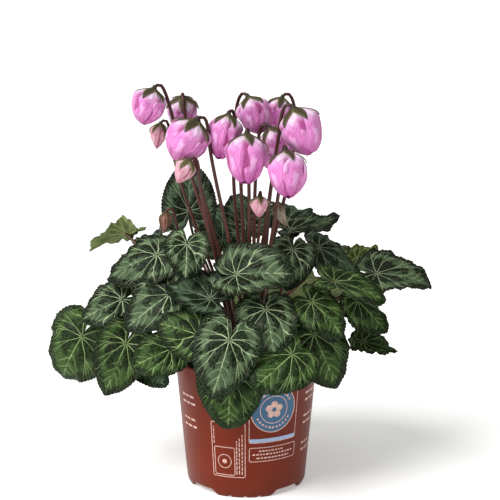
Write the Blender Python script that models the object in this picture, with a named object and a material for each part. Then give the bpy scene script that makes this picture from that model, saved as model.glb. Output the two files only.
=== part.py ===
"""Potted cyclamen: a florist's cyclamen in bud, growing from its tuber in a 12 cm plastic grow pot.

Lengths in the tables are millimetres and angles are degrees. The pot's axis is Z, the pot stands on Z = 0,
and -Y is the front. Compass angles run anticlockwise from +X, so -90 points to the front.

Every leaf is one body: a stalk from the tuber's crown with its blade. Every flower is one body: a hooked stem,
its calyx and its closed corolla. Each is grown where its table row says, and then moves by a few millimetres,
or takes another way between its neighbours, until it touches none of them.
"""

import math

import bpy
from mathutils import Matrix, Vector
from mathutils.bvhtree import BVHTree

MM = 0.001
UP = Vector((0, 0, 1))
GAP = 0.35  # least air between two pieces

# pot
POT_SIDES = 56
RIM_RADIUS = 60.0
POT_HEIGHT = 108.0
LIP_HEIGHT = 3.2
LIP_REACH = 1.1
FOOT_RADIUS = 50.0
WALL = 1.0
FLOOR_UNDER = 5.3
FLOOR_TOP = 6.5
DISC_RADIUS = 13.0  # middle of the floor, pressed down to the ground
DISC_TOP = 1.2
ARCH_RISE = 4.2
ARCH_TURN = 43.0  # compass angle of the first of the four arches in the foot
DRAINS = 8
DRAIN_IN = 28.0
DRAIN_OUT = 38.0

# soil and tuber
SOIL_SIDES = 36
SOIL_TOP = 97.0
TUBER_SIDES = 20
TUBER = ((0, 80.0), (13, 81.0), (20.5, 86.0), (23.5, 93.0), (22.0, 100.0), (18.5, 103.6), (10, 105.4), (0, 106.0))
PIT = ((0, 79.5), (13.2, 80.4), (21.0, 85.6), (24.1, 92.8), (24.6, 96.6))

# blade of a leaf, as seen from its face: angle off the tip, and reach as a share of the way from hub to tip
OUTLINE = (
    (0, 1.00), (12, 0.91), (30, 0.76), (54, 0.63), (80, 0.56), (105, 0.54), (130, 0.525), (150, 0.47),
    (165, 0.36), (174, 0.22), (180, 0.08),
)
BLADE_ANGLES = (0, 14, 33, 57, 84, 111, 134, 153, 167)  # of the vertices on one side
BLADE_THICK = 0.8
HUB_RADIUS = 2.4
STALK_RADIUS = 1.5
STALK_SIDES = 5
STALK_STEPS = 8
CROWN_PITCH = 2.35  # sets how close the stalks stand on the tuber's crown
SPARE_SEATS = 14

# stem and head of a flower
STEM_RADIUS = 1.6
STEM_STEPS = 8
HOOK_STEPS = 5
# how a stem carries its head, tried in turn until the two are clear of each other: how far the stem slopes below
# its hook, how much more the head leans out, and how much wider the hook is
POISES = (
    (0, 0, 1.0), (8, 3, 1.0), (12, 6, 1.05), (16, 10, 1.1), (20, 14, 1.15), (24, 18, 1.2), (28, 24, 1.25),
    (32, 30, 1.3),
)
# share of the head's length, share of its radius, how strongly the ring shows five parts
HEAD = ((0.04, 0.25, 0.0), (0.1, 0.58, 0.16), (0.22, 0.93, 0.04), (0.42, 1.0, 0.05), (0.66, 0.87, 0.08), (0.87, 0.52, 0.14))
BUD = ((0.07, 0.42, 0.0), (0.2, 0.86, 0.08), (0.38, 1.0, 0.04), (0.56, 0.86, 0.06), (0.74, 0.6, 0.08), (0.9, 0.3, 0.1))
HEAD_TWIST = 40.0

# name: top of the hook (x, y, z), compass angle the hook turns to, its radius, lean of the head out from straight
# down, length and width of the head, colour
FLOWERS = {
    "flower_01": ((-69, -17, 334), -160, 3.8, 14, 30, 27, "open"),
    "flower_02": ((-51, 5, 324), 95, 3.4, 6, 28, 25, "open"),
    "flower_03": ((-66, 3, 303), 190, 3.0, 10, 21, 14, "bud"),
    "flower_04": ((-35, -22, 310), 188, 3.8, 28, 37, 34, "open"),
    "flower_05": ((-12, -12, 313), -125, 3.6, 14, 37, 27, "open"),
    "flower_06": ((-2, 8, 324), -30, 3.6, 14, 32, 27, "open"),
    "flower_07": ((1, -29, 301), -95, 3.8, 14, 41, 32, "open"),
    "flower_08": ((15, 0, 301), -10, 3.6, 25, 29, 25, "open"),
    "flower_09": ((33, -17, 320), -14, 4.0, 20, 40, 33, "open"),
    "flower_10": ((33, 22, 322), 180, 3.4, 6, 27, 21, "open"),
    "flower_11": ((30, -37, 289), -80, 3.8, 14, 38, 30, "open"),
    "flower_12": ((22, 22, 284), 100, 3.2, 6, 25, 20, "open"),
    "flower_13": ((-41, -38, 281), 180, 3.2, 28, 21, 16, "bud"),
    "flower_14": ((11, -32, 251), -100, 3.0, 4, 17, 14.5, "bud"),
    "flower_15": ((21, -4, 237), -30, 3.0, 32, 21, 9, "dry"),
    "flower_16": ((-61, -20, 235), 180, 3.2, 6, 17, 9.5, "young"),
}

# name: hub (x, y, z), compass angle and fall of the line from hub to tip, compass angle and height that the face
# looks to, hub to tip, width as a share of the outline's, fold of the two halves, curl down of the tip, tint
LEAVES = {
    "leaf_01": ((-101, 30, 204), 165, 22, 95, 62, 36, 0.95, 16, 20, "pale"),
    "leaf_02": ((-74, 46, 200), 120, 12, -100, 62, 38, 1.0, 10, 20, "dark"),
    "leaf_03": ((-73, -6, 194), 180, 17, -92, 58, 48, 1.0, -8, 25, "silver"),
    "leaf_04": ((-84, 14, 170), -165, 30, -60, 40, 22, 0.9, 34, 20, "pale"),
    "leaf_05": ((-102, -12, 158), -160, 18, -98, 34, 38, 1.0, -8, 25, "silver"),
    "leaf_06": ((-62, -36, 172), -168, 32, -95, 54, 46, 1.0, 12, 20, "silver"),
    "leaf_07": ((-136, -4, 124), 178, 58, -102, 26, 50, 1.15, -12, 30, "green"),
    "leaf_08": ((-98, -24, 124), -168, 66, -86, 22, 49, 0.85, 10, 15, "green"),
    "leaf_09": ((-86, 2, 106), -36, 40, -120, 30, 36, 0.85, 20, -20, "dark"),
    "leaf_10": ((-60, -56, 129), -160, 16, -92, 30, 35, 1.0, -8, 20, "green"),
    "leaf_11": ((-38, -66, 144), 165, -16, -92, 36, 37, 1.05, -8, 20, "green"),
    "leaf_12": ((-26, -44, 165), 158, -14, -92, 56, 40, 1.0, 20, 10, "dark"),
    "leaf_13": ((-13, -88, 146), -126, 62, -82, 24, 48, 1.0, -6, 20, "silver"),
    "leaf_14": ((-12, -74, 112), -106, 76, -92, 12, 44, 1.1, 8, 15, "green"),
    "leaf_15": ((15, -60, 163), -72, 48, -82, 34, 40, 1.12, -8, 20, "silver"),
    "leaf_16": ((-8, -43, 187), -14, -8, -92, 52, 47, 1.0, 18, 15, "silver"),
    "leaf_17": ((36, -76, 131), -140, 26, -78, 34, 43, 1.1, -8, 20, "green"),
    "leaf_18": ((54, -44, 138), -20, 64, -78, 18, 50, 0.9, -14, 10, "green"),
    "leaf_19": ((52, -46, 165), -30, 34, -78, 44, 38, 1.0, -8, 20, "green"),
    "leaf_20": ((8, -64, 138), -66, 74, -70, 16, 38, 0.95, 10, 10, "dark"),
    "leaf_21": ((38, -8, 199), -100, 42, -82, 46, 36, 1.0, -6, 20, "silver"),
    "leaf_22": ((38, 42, 205), 4, -2, -92, 80, 44, 0.9, 14, -24, "silver"),
    "leaf_23": ((60, 12, 196), -8, 28, -82, 60, 40, 1.0, -8, 20, "dark"),
    "leaf_24": ((108, 8, 175), -6, 2, -94, 64, 48, 1.0, 8, 12, "silver"),
    "leaf_25": ((94, 44, 178), 20, -30, -120, 34, 22, 0.9, 20, 10, "pale"),
    "leaf_26": ((68, -20, 172), -12, 12, -90, 76, 44, 1.0, 10, 15, "green"),
    "leaf_27": ((92, 2, 153), -4, 46, -66, 40, 36, 0.95, -10, 15, "green"),
    "leaf_28": ((98, 8, 116), -8, 8, -92, 70, 30, 0.9, 12, 20, "green"),
    "leaf_29": ((-48, 36, 222), 92, -72, -88, 16, 42, 1.0, 8, 10, "dark"),
    "leaf_30": ((0, 46, 208), 112, -50, -90, 28, 34, 1.0, 8, 20, "dark"),
    "leaf_31": ((-34, -12, 204), -92, 48, -86, 42, 31, 1.05, 8, 15, "silver"),
    "leaf_32": ((34, 60, 208), 60, -26, -96, 50, 36, 1.0, 8, 20, "dark"),
    "leaf_33": ((-108, 44, 152), 160, 44, 150, 42, 46, 1.0, -8, 25, "green"),
    "leaf_34": ((-82, 82, 140), 138, 52, 128, 34, 48, 1.0, -8, 25, "green"),
    "leaf_35": ((-44, 100, 146), 112, 50, 105, 36, 48, 1.05, -8, 25, "silver"),
    "leaf_36": ((6, 106, 136), 88, 54, 85, 32, 50, 1.0, -8, 25, "green"),
    "leaf_37": ((52, 94, 148), 62, 48, 66, 38, 48, 1.0, -8, 25, "silver"),
    "leaf_38": ((92, 64, 142), 34, 46, 40, 40, 47, 1.05, -8, 25, "green"),
    "leaf_39": ((-20, 62, 190), 95, -50, -90, 36, 42, 1.05, 8, 15, "dark"),
    "leaf_40": ((-76, 70, 178), 140, 26, 130, 56, 45, 1.0, 10, 25, "silver"),
    "leaf_41": ((66, 60, 182), 48, 22, 60, 58, 46, 1.0, 10, 25, "silver"),
}
FIRST = (16, 13, 3, 31, 12, 14, 24, 8, 7, 17, 15, 23, 29, 30, 20, 6)  # leaves that keep their place before the others

COLOURS = {
    "pot": ("#7F3826", 0.42),
    "soil": ("#2B211B", 0.95),
    "tuber": ("#5A4232", 0.9),
    "open": ("#E58AD8", 0.55),
    "bud": ("#DB8FA6", 0.55),
    "dry": ("#9B7F63", 0.8),
    "young": ("#7A4A3A", 0.6),
    "silver": ("#5E8268", 0.5),
    "green": ("#3F6B34", 0.5),
    "dark": ("#2C4A30", 0.5),
    "pale": ("#7E9050", 0.55),
}


def compass(turn, rise=0.0):
    """The unit vector at a compass angle, raised from the level."""
    a, b = math.radians(turn), math.radians(rise)
    return Vector((math.cos(a) * math.cos(b), math.sin(a) * math.cos(b), math.sin(b)))


def between(table, at):
    """The value of a table of (place, value) pairs at a place, by straight lines."""
    for (a, va), (b, vb) in zip(table, table[1:]):
        if at <= b:
            return va + (vb - va) * (at - a) / (b - a)
    return table[-1][1]


def bezier(p0, p1, p2, p3, t):
    s = 1 - t
    return p0 * s**3 + p1 * 3 * s * s * t + p2 * 3 * s * t * t + p3 * t**3


# round pieces


def lathe(profile, sides, drains=()):
    """A closed body turned about Z. profile runs from the axis to the axis; its entries are (radius, height) or a
    function of the compass angle that gives one. drains lists pairs of spans (lower, upper) to open together."""
    verts = []
    faces = []
    ring = []
    for entry in profile:
        point = entry if callable(entry) else (lambda turn, e=entry: e)
        if point(0)[0] == 0:
            ring.append([len(verts)] * sides)
            verts.append(Vector((0, 0, point(0)[1])))
            continue
        ring.append([len(verts) + i for i in range(sides)])
        for i in range(sides):
            turn = 360 * i / sides
            r, z = point(turn)
            verts.append(compass(turn) * r + UP * z)
    opened = {span for pair in drains for span in pair}
    step = sides // DRAINS
    for i in range(sides):
        j = (i + 1) % sides
        hole = i % step in (0, 1)
        for k in range(len(ring) - 1):
            a, b, c, d = ring[k][i], ring[k][j], ring[k + 1][j], ring[k + 1][i]
            if k in opened and hole:
                continue
            if a == b:
                faces.append((a, c, d))
            elif c == d:
                faces.append((a, b, c))
            else:
                faces.append((a, b, c, d))
        for low, high in drains:
            if not hole:
                continue
            # the walls of the opening: its two ends, and its two sides at the first and last sector
            faces.append((ring[low][i], ring[low][j], ring[high + 1][j], ring[high + 1][i]))
            faces.append((ring[low + 1][j], ring[low + 1][i], ring[high][i], ring[high][j]))
            if i % step == 0:
                faces.append((ring[low][i], ring[high + 1][i], ring[high][i], ring[low + 1][i]))
            if i % step == 1:
                faces.append((ring[low][j], ring[low + 1][j], ring[high][j], ring[high + 1][j]))
    return verts, faces


def arch(turn):
    """How far the foot is cut away at a compass angle: four broad low arches."""
    off = abs((turn - ARCH_TURN + 45) % 90 - 45)
    return ARCH_RISE * max(0.0, min(1.0, (19.5 - off) / 8.0))


def wall_radius(z):
    """Outer radius of the pot's wall, which widens evenly from the foot to the lip."""
    top = POT_HEIGHT - LIP_HEIGHT
    return FOOT_RADIUS + (RIM_RADIUS - LIP_REACH - FOOT_RADIUS) * (z - FLOOR_TOP) / (top - FLOOR_TOP)


def pot():
    under = POT_HEIGHT - LIP_HEIGHT
    profile = (
        (0, 0.0),
        (DISC_RADIUS, 0.0),
        (DISC_RADIUS + 4, FLOOR_UNDER),
        (DRAIN_IN, FLOOR_UNDER),
        (DRAIN_OUT, FLOOR_UNDER),
        (48.2, FLOOR_UNDER),
        lambda turn: (46.9, arch(turn)),
        lambda turn: (48.3, arch(turn)),
        lambda turn: (49.5, max(2.4, arch(turn) + 0.5)),
        (FOOT_RADIUS, FLOOR_TOP),
        (wall_radius(under), under),
        (RIM_RADIUS, under + 0.9),
        (RIM_RADIUS, POT_HEIGHT - 0.5),
        (RIM_RADIUS - 0.5, POT_HEIGHT),
        (RIM_RADIUS - 1.3, POT_HEIGHT),
        (wall_radius(under) - WALL, under - 0.6),
        (FOOT_RADIUS - WALL, FLOOR_TOP + 1.0),
        (FOOT_RADIUS - WALL - 1.2, FLOOR_TOP),
        (DRAIN_OUT, FLOOR_TOP),
        (DRAIN_IN, FLOOR_TOP),
        (DISC_RADIUS + 4.2, FLOOR_TOP),
        (DISC_RADIUS + 0.3, DISC_TOP),
        (0, DISC_TOP),
    )
    return lathe(profile, POT_SIDES, drains=((3, 18),))


def soil_height(r, turn):
    """The top of the soil: a low mound with soft lumps, a little lower at the wall."""
    a = math.radians(turn)
    lumps = math.sin(3 * a + 0.7) + 0.7 * math.sin(5 * a + r / 7) + 0.5 * math.cos(8 * a - r / 5)
    return SOIL_TOP + 1.6 * (1 - r / 57) + 0.45 * lumps * min(1, (57 - r) / 12)


def soil():
    edge = wall_radius(SOIL_TOP) - WALL - GAP
    profile = [
        (0, DISC_TOP + GAP),
        (DISC_RADIUS - 0.2, DISC_TOP + GAP),
        (DISC_RADIUS + 3.9, FLOOR_TOP + GAP),
        (FOOT_RADIUS - WALL - 1.9, FLOOR_TOP + GAP),
        (FOOT_RADIUS - WALL - 0.3, FLOOR_TOP + 2.0),
        (edge - 0.15, SOIL_TOP - 0.6),
    ]
    for r in (50.0, 41.0, 32.0):
        profile.append(lambda turn, r=r: (r, soil_height(r, turn)))
    profile.append((25.6, SOIL_TOP + 0.6))
    profile.extend(reversed(PIT))
    return lathe(profile, SOIL_SIDES)


def tuber():
    return lathe(TUBER, TUBER_SIDES)


# tubes and rings


def frames(points, first):
    """The tangent and two cross directions at each point of a path, carried along it without twist."""
    out = []
    side = first
    for i, p in enumerate(points):
        a = points[max(0, i - 1)]
        b = points[min(len(points) - 1, i + 1)]
        tangent = (b - a).normalized()
        side = (side - tangent * side.dot(tangent)).normalized()
        out.append((tangent, side, tangent.cross(side)))
    return out


def zipped(verts, inner, outer, x, y, about):
    """Triangles between two rings of unlike counts round one point, both running anticlockwise about x cross y,
    seen from the side that x cross y points away from."""

    def angle(k):
        v = verts[k] - about
        return math.atan2(v.dot(y), v.dot(x))

    def turned(ring):
        angles = [angle(k) for k in ring]
        start = min(range(len(ring)), key=lambda i: angles[i])
        return [(angles[(start + i) % len(ring)], ring[(start + i) % len(ring)]) for i in range(len(ring))]

    a, b = turned(inner), turned(outer)
    faces = []
    i = j = 0
    while i < len(a) or j < len(b):
        next_a = a[(i + 1) % len(a)][0] + 2 * math.pi * ((i + 1) // len(a))
        next_b = b[(j + 1) % len(b)][0] + 2 * math.pi * ((j + 1) // len(b))
        if j >= len(b) or (i < len(a) and next_a <= next_b):
            faces.append((a[i % len(a)][1], a[(i + 1) % len(a)][1], b[j % len(b)][1]))
            i += 1
        else:
            faces.append((a[i % len(a)][1], b[(j + 1) % len(b)][1], b[j % len(b)][1]))
            j += 1
    return faces


def joined(ring_a, ring_b):
    """Quads from one ring to the next of the same count."""
    n = len(ring_a)
    return [(ring_a[k], ring_a[(k + 1) % n], ring_b[(k + 1) % n], ring_b[k]) for k in range(n)]


def tube(verts, faces, points, radii, sides):
    """Adds an open tube with a closed start to verts and faces; gives its last ring and that ring's frame."""
    cross = frames(points, Vector((1, 0, 0)))
    last = None
    for p, (tangent, side, other), radius in zip(points, cross, radii):
        ring = []
        for k in range(sides):
            a = 2 * math.pi * k / sides
            ring.append(len(verts))
            verts.append(p + side * (radius * math.cos(a)) + other * (radius * math.sin(a)))
        if last is None:
            faces.append(tuple(reversed(ring)))
        else:
            faces.extend(joined(last, ring))
        last = ring
    return last, cross[-1]


# leaves


class Leaf:
    """One leaf: its table row, the place it has settled in, and the way its stalk takes."""

    def __init__(self, name):
        hub, aim, fall, face, height, length, width, fold, curl, tint = LEAVES[name]
        self.name = name
        self.number = int(name[-2:])
        self.hub = Vector(hub)
        self.aim = compass(aim, -fall)
        self.face = compass(face, height)
        self.length = length
        self.width = width
        self.fold = math.radians(fold)
        self.curl = math.radians(curl)
        self.tint = tint
        self.root = None

    def axes(self, tilt):
        """The blade's own x to the tip, y to its left and z out of its face, after a small tilt."""
        z = (self.face - self.aim * self.face.dot(self.aim)).normalized()
        x = self.aim
        y = z.cross(x)
        turn = Matrix.Rotation(math.radians(tilt[0]), 3, x) @ Matrix.Rotation(math.radians(tilt[1]), 3, y)
        return turn @ x, turn @ y, turn @ z

    def surface(self, angle, share):
        """A point of the blade's middle surface in its own axes. share runs from 0 at the hub's edge to 1 at the
        margin."""
        a = math.radians(angle)
        reach = max(self.length * between(OUTLINE, abs(angle)), HUB_RADIUS + 1.2)
        r = HUB_RADIUS + share * (reach - HUB_RADIUS)
        x = r * math.cos(a)
        y = r * math.sin(a) * (self.width if r > 6 else 1)
        lift = math.tan(self.fold) * (math.hypot(y, 4) - 4)
        wave = math.sin(3 * a + 1.7 * self.number) + 0.6 * math.sin(5 * a + 2.3 * self.number)
        lift += self.length * 0.022 * share * share * wave
        bend = self.curl / self.length
        turn = bend * x
        x, fall = (math.sin(turn) / bend, (1 - math.cos(turn)) / bend)
        return Vector((x + lift * math.sin(turn), y, lift * math.cos(turn) - fall))

    def blade(self, shift, tilt, extra=0.0):
        """The blade's vertices: hub, two rings on the face, then two rings on the back."""
        x, y, z = self.axes(tilt)
        hub = self.hub + shift
        half = BLADE_THICK / 2 + extra

        def world(p, side):
            return hub + x * p.x + y * p.y + z * (p.z + side * half)

        around = list(BLADE_ANGLES) + [180] + [-a for a in reversed(BLADE_ANGLES[1:])]
        verts = [hub + z * half]
        for side, share in ((1, 0.5), (1, 1.0), (-1, 1.0), (-1, 0.5)):
            verts.extend(world(self.surface(a, share), side) for a in around)
        return verts, len(around), (hub, x, y, z)

    def blade_faces(self, n):
        ring = [[1 + k * n + i for i in range(n)] for k in range(4)]
        faces = [(0, ring[0][i], ring[0][(i + 1) % n]) for i in range(n)]
        for a, b in zip(ring, ring[1:]):
            faces.extend((q[0], q[3], q[2], q[1]) for q in joined(a, b))
        return faces, ring[3]

    def stalk_path(self, frame, way):
        """The stalk's middle line, from the crown up and outwards and then into the underside of the hub."""
        hub, x, y, z = frame
        rise, near, far, arrive = way
        end = hub - z * (BLADE_THICK / 2)
        start = self.root
        flat = Vector((end.x - start.x, end.y - start.y, 0))
        out = flat.normalized() if flat.length > 1 else compass(0)
        across = UP.cross(out)
        span = (end - start).length
        come = (z + x * 0.6 + y * arrive).normalized()
        p1 = start + (UP + out * 0.35).normalized() * (span * rise) + across * near
        p2 = end - come * (span * 0.36) + across * far
        return [bezier(start, p1, p2, end, k / STALK_STEPS) for k in range(STALK_STEPS + 1)], come

    def stalk(self, verts, faces, frame, way, extra=0.0):
        """Adds the stalk; its last ring is cut off flat where it meets the blade's underside."""
        z = frame[3]
        points, come = self.stalk_path(frame, way)
        radii = [STALK_RADIUS + extra] * len(points)
        ring, cross = tube(verts, faces, points, radii, STALK_SIDES)
        for k in ring:
            off = verts[k] - points[-1]
            verts[k] = points[-1] + off - come * (off.dot(z) / come.dot(z))
        return ring

    def body(self, shift, tilt, way, extra=0.0):
        verts, n, frame = self.blade(shift, tilt, extra)
        faces, back = self.blade_faces(n)
        ring = self.stalk(verts, faces, frame, way, extra)
        hub, x, y, z = frame
        faces.extend(zipped(verts, ring, back, x, y, hub))
        return verts, faces

    def stalk_clear(self, shift, tilt, way, placed, own):
        """Whether the stalk alone crosses neither the placed pieces nor its own blade."""
        frame = (self.hub + shift, *self.axes(tilt))
        verts, faces = [], []
        self.stalk(verts, faces, frame, way, GAP)
        if not clear((verts, faces), placed):
            return False
        return clear((verts, faces[: 1 + STALK_SIDES * (STALK_STEPS - 1)]), [own])

    def loose(self, shift, tilt, extra):
        """The blade alone, for trying places."""
        verts, n, frame = self.blade(shift, tilt, extra)
        faces, back = self.blade_faces(n)
        faces.append(tuple(back))
        return verts, faces


# flowers


class Flower:
    """One flower: hooked stem, calyx and closed corolla."""

    def __init__(self, name):
        top, turn, hook, lean, length, width, kind = FLOWERS[name]
        self.name = name
        self.number = int(name[-2:])
        self.top = Vector(top)
        self.out = compass(turn)
        self.hook = hook
        self.lean = math.radians(lean)
        self.length = length
        self.width = width
        self.tint = kind
        self.rings = HEAD if kind == "open" else BUD
        self.root = None

    def path(self, shift, way):
        """The stem's middle line: up from the crown, over the hook, to where the head begins."""
        lean, swing, (slope, more, wider) = way
        slope = math.radians(slope)
        hook = self.hook * wider
        middle = self.top + shift - UP * hook
        side = middle + (UP * math.sin(slope) - self.out * math.cos(slope)) * hook
        rising = UP * math.cos(slope) + self.out * math.sin(slope)
        start = self.root
        span = (side - start).length
        flat = Vector((side.x - start.x, side.y - start.y, 0))
        across = Vector((-flat.y, flat.x, 0)).normalized() if flat.length > 1 else compass(90)
        p1 = start + UP * (span * 0.35) + flat * lean + across * swing
        p2 = side - rising * (span * 0.3) - flat * 0.1 + across * (swing * 0.4)
        points = [bezier(start, p1, p2, side, k / STEM_STEPS) for k in range(STEM_STEPS + 1)]
        sweep = math.pi - self.lean - math.radians(more)
        for k in range(1, HOOK_STEPS + 1):
            a = slope + (sweep - slope) * k / HOOK_STEPS
            points.append(middle - self.out * (hook * math.cos(a)) + UP * (hook * math.sin(a)))
        down = self.out * math.sin(sweep) + UP * math.cos(sweep)
        return points, down.normalized()

    def body(self, shift, way, extra=0.0):
        verts, faces = [], []
        points, down = self.path(shift, way)
        radii = [STEM_RADIUS + extra] * len(points)
        last, (tangent, side, other) = tube(verts, faces, points, radii, STALK_SIDES)
        start = points[-1]
        for share, wide, lobes in self.rings:
            ring = []
            for k in range(10):
                a = math.radians(36 * k + HEAD_TWIST * share)
                r = self.width / 2 * wide * (1 + lobes * (1 if k % 2 == 0 else -1)) + extra
                p = start + down * (self.length * share)
                ring.append(len(verts))
                verts.append(p + side * (r * math.cos(a)) + other * (r * math.sin(a)))
            if len(last) == len(ring):
                faces.extend(joined(last, ring))
            else:
                faces.extend(zipped(verts, last, ring, side, other, start))
            last = ring
        tip = len(verts)
        verts.append(start + down * (self.length + extra))
        faces.extend((last[k], last[(k + 1) % 10], tip) for k in range(10))
        return verts, faces

    def hangs_free(self, shift, way):
        """Whether the head is clear of its own stem below the hook."""
        verts, faces = self.body(shift, way, GAP)
        stem = faces[: 1 + STALK_SIDES * STEM_STEPS]
        head = faces[1 + STALK_SIDES * (STEM_STEPS + HOOK_STEPS):]
        return clear((verts, stem), [tree((verts, head))])


# growing


def tree(body):
    return BVHTree.FromPolygons(body[0], body[1], epsilon=0.0)


def clear(body, placed):
    """Whether a body crosses none of the placed ones."""
    mine = tree(body)
    return not any(mine.overlap(other) for other in placed)


def crown_seats(count):
    """Places for the stalks on the tuber's crown, spiralling outwards, each with its height."""
    seats = []
    for k in range(count):
        r = CROWN_PITCH * math.sqrt(k + 0.5)
        spot = compass(137.508 * k) * r
        spot.z = between([(a, b) for a, b in reversed(TUBER[4:])], r) + GAP + 0.45
        seats.append(spot)
    return seats


def seat_all(pieces, wanted):
    """Gives every piece its own seat, the nearest free one to where it would like to stand, and gives the spare
    seats back."""
    seats = crown_seats(len(pieces) + SPARE_SEATS)
    for piece in pieces:
        spot = min(seats, key=lambda s: (s.xy - wanted(piece)).length)
        seats.remove(spot)
        piece.root = spot
    return seats


def flower_seat(flower):
    return (flower.top.xy * 0.09)


def leaf_seat(leaf):
    far = leaf.hub.xy.length
    low = (250 - leaf.hub.z) / 150
    return leaf.hub.xy.normalized() * min(18.0, 5 + 9 * low + far * 0.05)


FRONT = Vector((0, -0.97, 0.24))


def leaf_places():
    """Small moves of a blade, the least first: (shift, tilt). Moves to the front and back come first."""
    level = (0, 0)
    yield Vector((0, 0, 0)), level
    for d in (2, 4, 6, 8, 10, 12, 15, 18, 22):
        for sign in (1, -1):
            yield FRONT * (d * sign), level
        if d < 6:
            continue
        for tilt in ((8, 0), (-8, 0), (0, 8), (0, -8)):
            for sign in (0, 1, -1):
                yield FRONT * (d * sign * 0.8), tilt
        for turn in range(0, 360, 45):
            move = Vector((math.cos(math.radians(turn)), 0, math.sin(math.radians(turn))))
            for sign in (0, 1, -1):
                yield move * (d * 0.6) + FRONT * (d * sign), level


def stalk_ways():
    """Ways for a leaf's stalk, the plainest first: (rise, swing near the crown, swing near the hub, sideways
    arrival)."""
    swings = [(a, b) for a in (0, 6, -6, 12, -12, 20, -20, 30, -30) for b in (0, 8, -8, 16, -16)]
    for near, far in sorted(swings, key=lambda s: abs(s[0]) + abs(s[1])):
        for rise in (0.42, 0.3, 0.55):
            for arrive in (0, 0.6, -0.6):
                yield rise, near, far, arrive


def grow_leaf(leaf, placed, seats):
    """The leaf's body in the first place, seat and way that keep it clear of what has grown before it."""
    best = None
    for shift, tilt in leaf_places():
        blade = leaf.loose(shift, tilt, GAP)
        if not clear(blade, placed):
            continue
        own = tree(leaf.loose(shift, tilt, 0.0))
        first = leaf.root
        for seat in [first] + sorted(seats, key=lambda s: (s - first).length)[:5]:
            leaf.root = seat
            for way in stalk_ways():
                if leaf.stalk_clear(shift, tilt, way, placed, own):
                    if seat in seats:
                        seats.remove(seat)
                        seats.append(first)
                    return leaf.body(shift, tilt, way)
        leaf.root = first
        best = best or (shift, tilt)
    shift, tilt = best or (Vector((0, 0, 0)), (0, 0))
    print("UNSETTLED", leaf.name, "no way for the stalk" if best else "no place for the blade")
    return leaf.body(shift, tilt, (0.42, 0, 0, 0))


def grow_flower(flower, placed):
    for d in (0, 3, -3, 6, -6, 9, -9, 12, -12):
        for swing in (0, 5, -5, 10, -10, 15, -15):
            for lean in (0.25, 0.1, 0.45):
                shift = Vector((0, d, 0))
                poise = next((p for p in POISES if flower.hangs_free(shift, (lean, swing, p))), None)
                if poise and clear(flower.body(shift, (lean, swing, poise), GAP), placed):
                    return flower.body(shift, (lean, swing, poise))
    print("UNSETTLED", flower.name)
    return flower.body(Vector((0, 0, 0)), (0.25, 0, POISES[-1]))


def linear(code):
    """An sRGB hex colour as linear RGBA."""
    out = []
    for k in (1, 3, 5):
        c = int(code[k:k + 2], 16) / 255
        out.append(c / 12.92 if c <= 0.04045 else ((c + 0.055) / 1.055) ** 2.4)
    return (*out, 1.0)


def material(name, tint):
    colour, rough = COLOURS[tint]
    mat = bpy.data.materials.new(name)
    mat.use_nodes = True
    shader = mat.node_tree.nodes["Principled BSDF"]
    shader.inputs["Base Color"].default_value = linear(colour)
    shader.inputs["Roughness"].default_value = rough
    shader.inputs["Metallic"].default_value = 0.0
    mat.diffuse_color = linear(colour)
    return mat


def add(name, body, tint, parent, smooth=True):
    verts, faces = body
    mesh = bpy.data.meshes.new(name)
    mesh.from_pydata([v * MM for v in verts], [], faces)
    mesh.update()
    if smooth:
        mesh.shade_smooth()
    mesh.materials.append(material(name + "_material", tint))
    obj = bpy.data.objects.new(name, mesh)
    bpy.context.scene.collection.objects.link(obj)
    obj.parent = parent
    return obj


def main():
    for obj in list(bpy.data.objects):
        bpy.data.objects.remove(obj, do_unlink=True)
    plant = bpy.data.objects.new("potted_cyclamen", None)
    bpy.context.scene.collection.objects.link(plant)
    placed = []
    for name, body in (("pot", pot()), ("soil", soil()), ("tuber", tuber())):
        add(name, body, name, plant, smooth=False)
        placed.append(tree(body))
    flowers = [Flower(name) for name in FLOWERS]
    leaves = [Leaf(name) for name in LEAVES]
    seated = sorted(flowers, key=lambda f: -f.top.z) + sorted(leaves, key=lambda a: -a.hub.z)
    seats = seat_all(seated, lambda p: flower_seat(p) if isinstance(p, Flower) else leaf_seat(p))
    for flower in flowers:
        body = grow_flower(flower, placed)
        placed.append(tree(body))
        add(flower.name, body, flower.tint, plant)
    first = {number: rank for rank, number in enumerate(FIRST)}
    for leaf in sorted(leaves, key=lambda a: first.get(a.number, 99)):
        body = grow_leaf(leaf, placed, seats)
        placed.append(tree(body))
        add(leaf.name, body, leaf.tint, plant)


main()
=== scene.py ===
"""Potted cyclamen: the finished plant, pot and soil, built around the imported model.

Lengths in the tables and in the shape functions are millimetres and angles are degrees; piece() turns them into
metres. Each leaf and flower takes its place from its CAD node: the rings of corners along its stalk, the settled
place of its blade, the line of its head. Compass angles run anticlockwise from +X, so -90 points to the front.
"""

import math

import bmesh
import bpy
import numpy as np
from mathutils import Matrix, Vector


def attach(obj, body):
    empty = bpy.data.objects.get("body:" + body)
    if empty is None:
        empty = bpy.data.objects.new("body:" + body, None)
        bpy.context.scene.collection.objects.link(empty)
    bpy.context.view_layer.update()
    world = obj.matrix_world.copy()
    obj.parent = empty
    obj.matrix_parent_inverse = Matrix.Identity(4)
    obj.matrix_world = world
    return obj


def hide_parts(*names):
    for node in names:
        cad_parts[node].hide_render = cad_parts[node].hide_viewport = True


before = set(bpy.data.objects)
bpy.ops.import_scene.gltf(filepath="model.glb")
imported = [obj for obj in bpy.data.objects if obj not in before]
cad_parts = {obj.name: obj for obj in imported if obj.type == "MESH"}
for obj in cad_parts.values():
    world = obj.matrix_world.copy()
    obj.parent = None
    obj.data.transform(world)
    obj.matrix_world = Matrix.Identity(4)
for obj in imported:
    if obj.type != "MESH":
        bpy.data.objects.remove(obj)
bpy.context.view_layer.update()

MM = 0.001

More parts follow.
